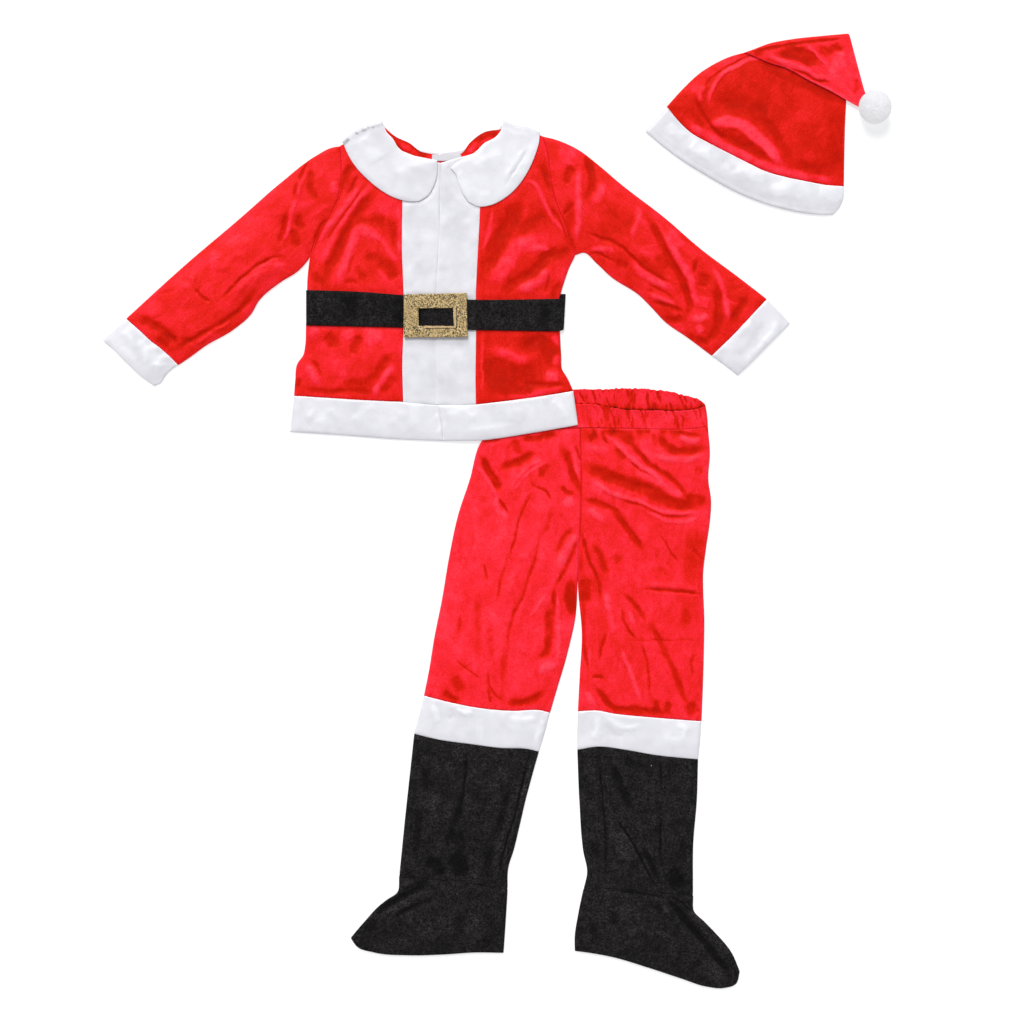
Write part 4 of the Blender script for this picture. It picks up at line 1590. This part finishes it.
def sew_tube(node, kind, relief, *values):
    """Makes a flattened tube of cloth. `relief` shapes its upper wall with the given values."""
    panel = laid_panel(node, outline(node), kind, sides=TUBE_SIDE)
    relief(panel, *values)
    panel.z -= rolled(np.minimum(panel.left, panel.right) - TUBE_SIDE, 0.55, 2.8)
    panel.z = np.maximum(panel.z, TUBE_LEAST + 0.55 * ease(panel.end / 3))
    width, length, area = panel.patch.cut()
    sew(node, kind, *ring_round(panel), (width * 2, length, area * 2), closed=True)


class SANTA_OT_sleeves(bpy.types.Operator):
    """Builds the two sleeves"""

    bl_idname = "santa_suit.sleeves"
    bl_label = "Sleeves"

    def execute(self, context):
        sew_tube("sleeve_right", VELOUR, velour_relief, SLEEVE_RIGHT, 51, 1.0, 0.12)
        sew_tube("sleeve_left", VELOUR, velour_relief, SLEEVE_LEFT, 59)
        return {"FINISHED"}


class SANTA_OT_cuffs(bpy.types.Operator):
    """Builds the satin cuffs"""

    bl_idname = "santa_suit.cuffs"
    bl_label = "Cuffs"

    def execute(self, context):
        depth = 1.3 * sizes().gather_depth
        for side, folds, seed in (("right", CUFF_FOLDS_RIGHT, 61), ("left", CUFF_FOLDS_LEFT, 67)):
            sew_tube(f"cuff_{side}", SATIN, satin_band, folds, seed, 0.3,
                     ("start", 9, depth, 14, seed + 2))
        return {"FINISHED"}


class SANTA_OT_collar(bpy.types.Operator):
    """Builds the two halves of the satin collar, turned under at the shoulders"""

    bl_idname = "santa_suit.collar"
    bl_label = "Collar"

    def execute(self, context):
        for side, folds, lie, turn, seed in (("right", COLLAR_RIGHT_FOLDS, 0.1, 1.0, 71),
                                             ("left", COLLAR_LEFT_FOLDS, 0.5, 0.35, 77)):
            node = f"collar_{side}"
            front = outline(node)
            neck, outer = map(smooth_line, COLLAR_UNDER[side])
            under = Patch(neck, outer, run(f"{node}_fold"), straight(neck[-1], outer[-1]))
            panel = Panel(front, COLLAR_SATIN.cell)
            back = Panel(under, COLLAR_LINING_CELL, columns=panel.u.shape[1])
            free = np.minimum(np.minimum(panel.left, panel.right), panel.start)
            height, tone = folded(panel.xy, folds)
            x, y = panel.x, panel.y
            soft = 0.3 * ripple(x / 24, y / 22, seed) + 0.06 * ripple(x / 8, y / 9, seed + 1)
            swell = (0.5 * height + soft + 0.4) * ease(free / 5)
            panel.z = COLLAR_LEVEL + swell * ease(panel.end / 9 + 0.1)
            panel.z = np.maximum(panel.z, COLLAR_LEVEL - 0.05) - rolled(free, 0.12, 1.4)
            patches = 0.35 * ripple(x / 15, y / 13, seed + 3) + lie
            slope = 1.3 * np.clip(facing(panel), -0.3, 0.3) * ease(panel.edge / 6)
            panel.tone = np.tanh(tone + slope + patches)
            dashes = 1.5 + 1.5 * ease(ripple(x / 3.2, y / 3.2, seed + 2) / 0.5 + 0.2)
            panel.tone -= turn * dashes * np.exp(-(panel.end / 3.2) ** 2)
            panel.edge = free
            back.z += COLLAR_UNDER_LEVEL
            sew(node, COLLAR_SATIN, *turned_over(panel, back), end_to_end(front, under), "folded",
                [f"jacket_front_{side}"])
        return {"FINISHED"}


class SANTA_OT_neck_label(bpy.types.Operator):
    """Builds the blank tape sewn inside the neck"""

    bl_idname = "santa_suit.neck_label"
    bl_label = "Neck label"

    def execute(self, context):
        x, y = np.meshgrid(np.linspace(*LABEL_X, 40), np.linspace(*LABEL_Y, 12))
        sag = 0.12 * ripple(x / 9, y / 9, 3)
        points = np.stack([x, y + 0.15 * ripple(x / 12, y / 30, 8), LABEL_LEVEL + sag], axis=-1)
        width, length = LABEL_CUT
        sew("neck_label", TAPE, points, None, None, (width, length, width * length),
            rests_on=["jacket_back"])
        return {"FINISHED"}


# ---- belt ----

def belt_way():
    """The belt's way round the jacket: x and height of its middle."""
    side_right, side_left = BELT_SIDES
    rise_start, rise_end = TONGUE_RISE
    radius = (BELT_LEVEL - BELT_UNDER_LEVEL) / 2
    centre = (BELT_LEVEL + BELT_UNDER_LEVEL) / 2
    angles = np.linspace(0, math.pi, 9)
    way = [(x, BELT_LEVEL) for x in np.arange(STRAP_START, side_left - 1, 2.0)]
    way += [(side_left + (radius + LOOP_REACH) * math.sin(a), centre + radius * math.cos(a))
            for a in angles]
    way += [(x, BELT_UNDER_LEVEL) for x in np.linspace(side_left, side_right, 60)[1:-1]]
    way += [(side_right - radius * math.sin(a), centre - radius * math.cos(a)) for a in angles]
    way += [(x, BELT_LEVEL) for x in np.arange(side_right + 2, rise_start, 2.0)]
    way += [(rise_start + (rise_end - rise_start) * t,
             BELT_LEVEL + (TONGUE_LEVEL - BELT_LEVEL) * float(ease(t)))
            for t in np.linspace(0, 1, 12)]
    way += [(x, TONGUE_LEVEL) for x in np.arange(rise_end + 2, TONGUE_END, 2.0)]
    way.append((TONGUE_END, TONGUE_LEVEL))
    return np.array(way)


def loop_steps(way):
    """Where along the belt's way its left turn starts, peaks, ends, fades out and finishes."""
    first = int(np.argmax(way[:, 0] >= BELT_SIDES[1]))
    return first - 1, first + 4, first + 9, first + 24, len(way) - 1


class SANTA_OT_belt(bpy.types.Operator):
    """Builds the felt belt, wound once round the jacket"""

    bl_idname = "santa_suit.belt"
    bl_label = "Belt"

    def execute(self, context):
        way = belt_way()
        top, low = smooth_line(BELT_TOP_EDGE), smooth_line(BELT_LOW_EDGE)
        across = np.linspace(0, 1, 25)
        high_y = np.interp(way[:, 0], top[:, 0], top[:, 1])[:, None]
        low_y = np.interp(way[:, 0], low[:, 0], low[:, 1])[:, None]
        turned = np.interp(np.arange(len(way)), loop_steps(way), (0, 1, 1, 0, 0))[:, None]
        x = way[:, :1] + LOOP_LEAN * turned * (0.5 - across)
        y = high_y + (low_y - high_y) * across + LOOP_RISE * turned * (1 - 0.6 * across)
        edge = np.minimum(across, 1 - across) * (high_y - low_y)
        lying = ease((way[:, 1:] - ON_FRONTS) / 0.4)
        length = travelled(way)[:, None]
        slack = 1 + ripple(length / 34, across * 1.6, 81)
        z = way[:, 1:] + lying * 0.28 * slack * ease(edge / 4)
        join = np.exp(-((x - TONGUE_RISE[0] + 4) / 3) ** 2)
        tone = np.tanh(folded(np.stack([x, y], axis=-1), BELT_FOLDS)[1]) * lying - 0.9 * join
        long = length[-1, 0] * MM
        wide = float((high_y - low_y).max()) * MM
        sew("belt_strap", STRAP_FELT, np.stack([x, y, z], axis=-1), tone, edge,
            (long, wide, long * wide * 0.98), "folded",
            ["jacket_front_right", "jacket_front_left"])
        return {"FINISHED"}


class SANTA_OT_buckle(bpy.types.Operator):
    """Builds the buckle: a square frame cut from gold glitter foam"""

    bl_idname = "santa_suit.buckle"
    bl_label = "Buckle"

    def execute(self, context):
        put_away("belt_buckle_glitter")
        (across, left, right), (up, below, above) = BUCKLE_CELLS
        surface = bmesh.new()
        bmesh.ops.create_grid(surface, x_segments=across, y_segments=up, size=1)
        outer, window = np.array(BUCKLE_OUTER), np.array(BUCKLE_WINDOW)

        def cells(point):
            return (point.x + 1) / 2 * across, (point.y + 1) / 2 * up

        def corner_mix(corners, a, b):
            return ((1 - a) * (1 - b) * corners[0] + a * (1 - b) * corners[1]
                    + a * b * corners[2] + (1 - a) * b * corners[3])

        window_cells = []
        for face in surface.faces:
            i, j = cells(face.calc_center_median())
            if left < i < right and below < j < above:
                window_cells.append(face)
        stops_x, stops_y = (0, left, right, across), (0, below, above, up)
        tones = surface.verts.layers.float.new("tone")
        rng = np.random.default_rng(91)
        for vertex in surface.verts:
            i, j = cells(vertex.co)
            if left - 0.01 < i < right + 0.01 and below - 0.01 < j < above + 0.01:
                place = corner_mix(window, np.interp(i, stops_x, (0, 0, 1, 1)),
                                   np.interp(j, stops_y, (0, 0, 1, 1)))
            else:
                place = corner_mix(outer, np.interp(i, stops_x, BUCKLE_SHARES_X),
                                   np.interp(j, stops_y, BUCKLE_SHARES_Y))
            jitter = rng.normal(0, 0.10, 2)
            x, y = place + jitter * 0.6 + np.array(SHIFT) / MM
            vertex.co = Vector((x, y, BUCKLE_LEVEL + rng.normal(0, 0.05))) * MM
            if i > left + 4 and j < above + 1:
                vertex[tones] = LIP.get(round(max(i - right, below - j)), 0.0)
        bmesh.ops.delete(surface, geom=window_cells, context="FACES")
        bmesh.ops.recalc_face_normals(surface, faces=surface.faces[:])
        if sum(face.normal.z for face in surface.faces) < 0:
            bmesh.ops.reverse_faces(surface, faces=surface.faces[:])
        piece = solid_piece("belt_buckle_glitter", surface, "gold_foam")
        wall = piece.modifiers.new("Foam", "SOLIDIFY")
        wall.thickness = FOAM_THICKNESS * MM
        wall.offset = 1
        soft = piece.modifiers.new("Cut edge", "BEVEL")
        soft.width = FOAM_EDGE * MM
        soft.segments = 2
        soft.limit_method = "ANGLE"
        soft.angle_limit = math.radians(50)
        declare_padded(piece, "belt_buckle")
        return {"FINISHED"}


# ---- trousers ----

def back_waistband():
    """The outline of the back waistband."""
    top, seam = run("waist_back_top"), run("waist_back_seam")
    return Patch(straight(top[0], seam[0]), straight(top[-1], seam[-1]), top, seam)


class SANTA_OT_waistband(bpy.types.Operator):
    """Builds the gathered waistband, front and back"""

    bl_idname = "santa_suit.waistband"
    bl_label = "Waistband"

    def execute(self, context):
        for face, patch, seed in (("front", outline("waistband_front"), 101),
                                  ("back", back_waistband(), 107)):
            node = f"waistband_{face}"
            panel = laid_panel(node, patch, VELOUR_GATHERED)
            clear = clear_of(panel.xy, hem_outline(), 6)
            x, y = panel.x, panel.y
            wander = 0.8 * ripple(x / 16, y / 9, seed + 4)
            slant = x + 0.3 * y
            pleats = (ripple(slant / 3.0 + wander, y / 16, seed)
                      + 0.6 * ripple(x / 1.9 + wander, y / 12, seed + 1))
            if face == "front":
                lift = 1.5 * np.exp(-panel.start / 7) * ease(panel.left / 20)
                depth = 0.35 + 0.5 * np.exp(-panel.start / 8) + 0.35 * np.exp(-panel.end / 5)
                panel.z += clear * (lift + depth * pleats * ease(panel.end / 2.5 + 0.2) + 0.3)
                panel.z -= rolled(panel.end, 0.1, 1.4) + rolled(panel.right, 2.2, 4.0)
                panel.y += clear * 0.5 * pleats * np.exp(-panel.start / 5)
                gathered = 0.35 + 0.65 * ease((x - WAIST_OPEN) / 45)
                panel.tone = 0.45 + 0.3 * ripple(x / 14, y / 12, seed + 6)
                panel.tone -= gathered * ease((-0.3 - pleats) / 0.6)
                panel.tone = panel.tone * clear
            else:
                line = run("waist_front_top")
                above = y - np.interp(x, line[:, 0], line[:, 1])
                ruffled = clear * ease((above - 3.5) / 6)
                panel.z += ruffled * (1.3 * np.exp(-panel.start / 9) + 0.3 + 0.75 * pleats)
                panel.z = np.maximum(panel.z, FLOOR_LAYER)
                panel.y += clear * 0.9 * pleats * np.exp(-panel.start / 4)
                ragged = above + 2.0 * ripple(x / 2.6, y / 50, seed + 7) - 0.6
                slit = ease((x - WAIST_OPEN) / 50)
                slit = slit * (0.75 + 0.5 * ripple(x / 4, y / 60, seed + 8))
                shade = np.exp(-np.maximum(ragged, 0) / (0.7 + 1.6 * slit))
                lay = 0.4 - 1.3 * ease((-0.2 - pleats) / 0.5)
                panel.tone = lay * (1 - shade) - (1.6 + 1.0 * slit) * shade
            rests = ["waistband_back"] if face == "front" else []
            sew_panel(node, VELOUR_GATHERED, panel, "gathered", rests)
        return {"FINISHED"}


class SANTA_OT_trouser_legs(bpy.types.Operator):
    """Builds the trouser legs, front and back"""

    bl_idname = "santa_suit.trouser_legs"
    bl_label = "Trouser legs"

    def execute(self, context):
        for side, near, far, share, folds, outer, inner, lie, seed in (
                ("right", "leg_right_outer", "leg_right_inner", (0, MIDDLE_SEAM),
                 TROUSERS_RIGHT, "left", "right", 0.45, 111),
                ("left", "leg_left_inner", "leg_left_outer", (MIDDLE_SEAM, 1),
                 TROUSERS_LEFT, "right", "left", 0.3, 121)):
            node = f"trouser_{side}_front"
            span = np.linspace(*share, SAMPLES)
            knee = run(f"knee_{side}_top")
            patch = Patch(run(near), run(far), at(run("waist_front_seam"), span), knee)
            panel = laid_panel(node, patch, VELOUR)
            clear = clear_of(panel.xy, hem_outline(), 8)
            velour_relief(panel, folds, seed, clear, lie)
            pleats = gathers(panel, "start", 6, 0.6, 12, seed + 8) * clear
            panel.z += pleats
            darts = ease((-0.06 - pleats) / 0.22) * np.exp(-panel.start / 16)
            panel.tone += 0.5 * pleats - 0.9 * darts
            below_crotch = ease((CROTCH - panel.y) / 10)
            panel.z -= rolled(getattr(panel, outer), 1.0, SIDE_ROLL) * clear
            panel.z -= rolled(getattr(panel, inner), 1.0, SIDE_ROLL) * below_crotch
            seam = np.exp(-(getattr(panel, inner) / 1.6) ** 2)
            panel.tone -= 0.8 * seam * (1 - below_crotch)
            sew_panel(node, VELOUR, panel, rests_on=[f"trouser_{side}_back"])

            node = f"trouser_{side}_back"
            start = at(run("waist_back_seam"), span)
            edges = [spaced(smooth_line([*start[end], *LINES[name][2:]]))
                     for end, name in ((0, near), (-1, far))]
            panel = laid_panel(node, Patch(*edges, start, knee), VELOUR_UNDER, sides=UNDER_GAP)
            joined = ease((panel.y - BACKS_MEET) / 8)
            reach = (UNDER_GAP - SEAM_GAP) * np.exp((UNDER_GAP - getattr(panel, inner)) / 6)
            panel.x += reach * joined * (1 if side == "right" else -1)
            sew_panel(node, VELOUR_UNDER, panel)
        return {"FINISHED"}


class SANTA_OT_knee_bands(bpy.types.Operator):
    """Builds the satin bands at the tops of the boot covers"""

    bl_idname = "santa_suit.knee_bands"
    bl_label = "Knee bands"

    def execute(self, context):
        depth = sizes().gather_depth
        for side, seed in (("right", 131), ("left", 137)):
            sew_tube(f"knee_band_{side}", SATIN, satin_band, KNEE_FOLDS, seed, 0.35,
                     ("start", 9, depth, 10, seed + 2), ("end", 11, 0.6 * depth, 8, seed + 3))
        return {"FINISHED"}


class SANTA_OT_boot_covers(bpy.types.Operator):
    """Builds the felt boot covers: shafts and feet"""

    bl_idname = "santa_suit.boot_covers"
    bl_label = "Boot covers"

    def execute(self, context):
        for node, folds, seed in (("boot_shaft_right", SHAFT_RIGHT_FOLDS, 141),
                                  ("boot_foot_right", FOOT_RIGHT_FOLDS, 145),
                                  ("boot_shaft_left", SHAFT_LEFT_FOLDS, 151),
                                  ("boot_foot_left", FOOT_LEFT_FOLDS, 155)):
            sew_tube(node, FELT, felt_relief, folds, seed)
        return {"FINISHED"}


# ---- hat ----

class SANTA_OT_hat(bpy.types.Operator):
    """Builds the hat's two sides, with the tip folded over"""

    bl_idname = "santa_suit.hat"
    bl_label = "Hat"

    def execute(self, context):
        body, tip = outline("hat_body"), outline("hat_tip")
        over = run("-hat_fold flap_lower flap_end -flap_right")
        cut = end_to_end(body, tip)

        def from_corner(panel, reach):
            return ease(np.linalg.norm(panel.xy - tip.start[0], axis=-1) / reach)

        panel = Panel(body, VELOUR.cell)
        low, high = HAT_FRONT_LEVELS
        rise = 1.4 * ease(panel.edge / 30) * ease(panel.end / 70)
        clear = clear_of(panel.xy, over, 9)
        panel.z = low + rise * np.maximum(clear, 0.35)
        velour_relief(panel, HAT_FOLDS, 161, clear * ease(panel.end / 8), -0.45)
        sides = np.minimum(panel.left, panel.right)
        panel.z -= rolled(sides, 1.0, SIDE_ROLL) * ease(panel.end / 20)
        flap = Panel(tip, FLAP_LINING_CELL, FLAP_GAP, FLAP_GAP, columns=panel.u.shape[1])
        lying = from_corner(flap, CORNER_REACH)
        flap.z = FLAP_INNER_CORNER + (high - FLAP_INNER_CORNER) * lying
        panel.z = np.minimum(panel.z, low + 3 * from_corner(panel, 40))
        layers = turned_over(panel, flap, out=0, grow=ease(panel.across / TURN_GROWS))
        sew("hat_front", VELOUR, *layers, cut, "folded", ["hat_back"])

        low, high = HAT_BACK_LEVELS
        under = Panel(body, HAT_UNDER_CELL, sides=UNDER_GAP, columns=HAT_COLUMNS)
        under.z += low
        flap = Panel(tip, VELOUR.cell, columns=HAT_COLUMNS)
        lying = from_corner(flap, CORNER_REACH)
        flap.z = FLAP_OUTER_CORNER + (high - FLAP_OUTER_CORNER) * lying
        velour_relief(flap, FLAP_FOLDS, 171, ease(flap.end / 12) * (0.3 + 0.7 * lying), 0.5)
        layers = turned_over(under, flap, grow=ease(under.across / TURN_GROWS))
        sew("hat_back", VELOUR, *layers, cut, "folded", ["hat_front"], face_up=False)
        return {"FINISHED"}


class SANTA_OT_hat_brim(bpy.types.Operator):
    """Builds the hat's satin brim"""

    bl_idname = "santa_suit.hat_brim"
    bl_label = "Hat brim"

    def execute(self, context):
        def relief(panel):
            satin_band(panel, BRIM_FOLDS, 181, 0.38,
                       ("start", 15, 1.3 * sizes().gather_depth, 16, 183))
            panel.z -= 0.18 * np.exp(-((panel.end - 6) / 1.2) ** 2) + rolled(panel.end, 0.5, 1.6)

        sew_tube("hat_brim", SATIN, relief)
        return {"FINISHED"}


class SANTA_OT_pompom(bpy.types.Operator):
    """Builds the pompom: a ball of loose fibres"""

    bl_idname = "santa_suit.pompom"
    bl_label = "Pompom"

    def execute(self, context):
        put_away("hat_pompom_fluff")
        low, high = map(np.array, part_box("hat_pompom"))
        centre, radius = (low + high) / 2, (high - low)[2] / 2
        length = sizes().tuft_length
        surface = bmesh.new()
        bmesh.ops.create_icosphere(surface, subdivisions=5, radius=radius - length)
        depth = surface.verts.layers.float.new("tone")
        rng = np.random.default_rng(191)
        for vertex in surface.verts:
            way = vertex.co.normalized()
            lump = 0.5 + 0.5 * float(ripple(np.array(way.x * 3.1 + 7),
                                            np.array(way.y * 3.1 + way.z * 2.3 + 9), 193))
            vertex.co = way * (radius - length * (0.5 + 0.45 * (1 - lump)))
        chosen = [face for face in surface.faces if rng.random() < TUFT_SHARE]
        made = bmesh.ops.extrude_discrete_faces(surface, faces=chosen)
        for face in made["faces"]:
            middle = face.calc_center_median()
            lean = Vector(rng.normal(0, TUFT_LEAN, 3))
            tip = middle + (middle.normalized() + lean).normalized() * length * float(
                rng.uniform(0.5, 1.0))
            if tip.length > radius:
                tip *= radius / tip.length
            for vertex in face.verts:
                vertex.co = tip + (vertex.co - middle) * TUFT_TAPER
                vertex[depth] = 1.0
        piece = solid_piece("hat_pompom_fluff", surface, "pompom_fluff")
        piece.data.transform(Matrix.Translation(Vector(centre) + POMPOM_MOVE)
                             @ Matrix.Diagonal(POMPOM_STRETCH))
        declare_padded(piece, "hat_pompom")
        return {"FINISHED"}


# ---- stage ----

def soft_sun(name, azimuth, elevation, spread, strength):
    """A far, soft light; azimuth is from the +X axis, all angles in degrees."""
    light = bpy.data.lights.new(name, "SUN")
    light.angle = math.radians(spread)
    light.energy = strength
    lamp = bpy.data.objects.new(name, light)
    turn, tilt = math.radians(azimuth), math.radians(elevation)
    place = Vector((math.cos(turn) * math.cos(tilt), math.sin(turn) * math.cos(tilt),
                    math.sin(tilt)))
    lamp.location = place * 3
    lamp.rotation_euler = place.to_track_quat("Z", "Y").to_euler()
    bpy.context.scene.collection.objects.link(lamp)


class SANTA_OT_stage(bpy.types.Operator):
    """Builds the pale floor, the studio lights and the camera"""

    bl_idname = "santa_suit.stage"
    bl_label = "Stage"

    def execute(self, context):
        scene = bpy.context.scene
        surface = bmesh.new()
        bmesh.ops.create_grid(surface, x_segments=1, y_segments=1, size=6)
        mesh = bpy.data.meshes.new("floor")
        surface.to_mesh(mesh)
        surface.free()
        shader = Shader("pale_floor")
        shade = shader.scaled(shader.noise(3, 2), 0.3, 0.7, 0.50, 0.52)
        mesh.materials.append(shader.finished(
            Base_Color=shade, Roughness=0.9, Specular_IOR_Level=0.1,
            Emission_Color=(0.985, 0.99, 1.0, 1.0), Emission_Strength=0.54))
        mesh.transform(Matrix.Translation((0, 0, -FLOOR_DROP)))
        floor = bpy.data.objects.new("floor", mesh)
        scene.collection.objects.link(floor)

        world = bpy.data.worlds.new("studio")
        world.use_nodes = True
        glow = world.node_tree.nodes["Background"].inputs
        glow["Color"].default_value = (0.96, 0.97, 1.0, 1)
        glow["Strength"].default_value = 0.46
        scene.world = world
        soft_sun("key", 107, 58, 22, 1.75)
        soft_sun("low", 104, 26, 20, 1.3)
        soft_sun("fill", -50, 60, 60, 0.35)

        camera = bpy.data.cameras.new("camera")
        camera.lens, camera.sensor_width = LENS, SENSOR
        eye = bpy.data.objects.new("camera", camera)
        eye.location = CAMERA_PLACE
        scene.collection.objects.link(eye)
        scene.camera = eye
        scene.view_settings.view_transform = "Standard"
        return {"FINISHED"}


OPERATORS = (
    SANTA_OT_stage, SANTA_OT_jacket_back, SANTA_OT_jacket_fronts, SANTA_OT_plackets,
    SANTA_OT_hem_bands, SANTA_OT_sleeves, SANTA_OT_cuffs, SANTA_OT_collar, SANTA_OT_neck_label,
    SANTA_OT_belt, SANTA_OT_buckle, SANTA_OT_waistband, SANTA_OT_trouser_legs,
    SANTA_OT_knee_bands, SANTA_OT_boot_covers, SANTA_OT_hat, SANTA_OT_hat_brim, SANTA_OT_pompom,
)


class SANTA_PT_suit(bpy.types.Panel):
    """Lists the suit's pieces, sizes and colours."""

    bl_idname = "SANTA_PT_suit"
    bl_label = "Santa suit"
    bl_space_type = "VIEW_3D"
    bl_region_type = "UI"
    bl_category = "Santa suit"

    def draw(self, context):
        for group in (context.scene.santa_suit_sizes, context.scene.santa_suit_colours):
            box = self.layout.box()
            for name in group.__annotations__:
                box.prop(group, name)
        for operator in OPERATORS:
            self.layout.operator(operator.bl_idname)


CLASSES = (SuitSizes, SuitColours, *OPERATORS, SANTA_PT_suit)


def register():
    """Adds the suit's classes and settings."""
    for item in CLASSES:
        bpy.utils.register_class(item)
    bpy.types.Scene.santa_suit_sizes = bpy.props.PointerProperty(type=SuitSizes)
    bpy.types.Scene.santa_suit_colours = bpy.props.PointerProperty(type=SuitColours)


def unregister():
    """Takes the suit's classes and settings away."""
    del bpy.types.Scene.santa_suit_colours
    del bpy.types.Scene.santa_suit_sizes
    for item in reversed(CLASSES):
        bpy.utils.unregister_class(item)


def main():
    register()
    for operator in OPERATORS:
        getattr(bpy.ops.santa_suit, operator.bl_idname.split(".")[1])()


if __name__ == "__main__":
    main()
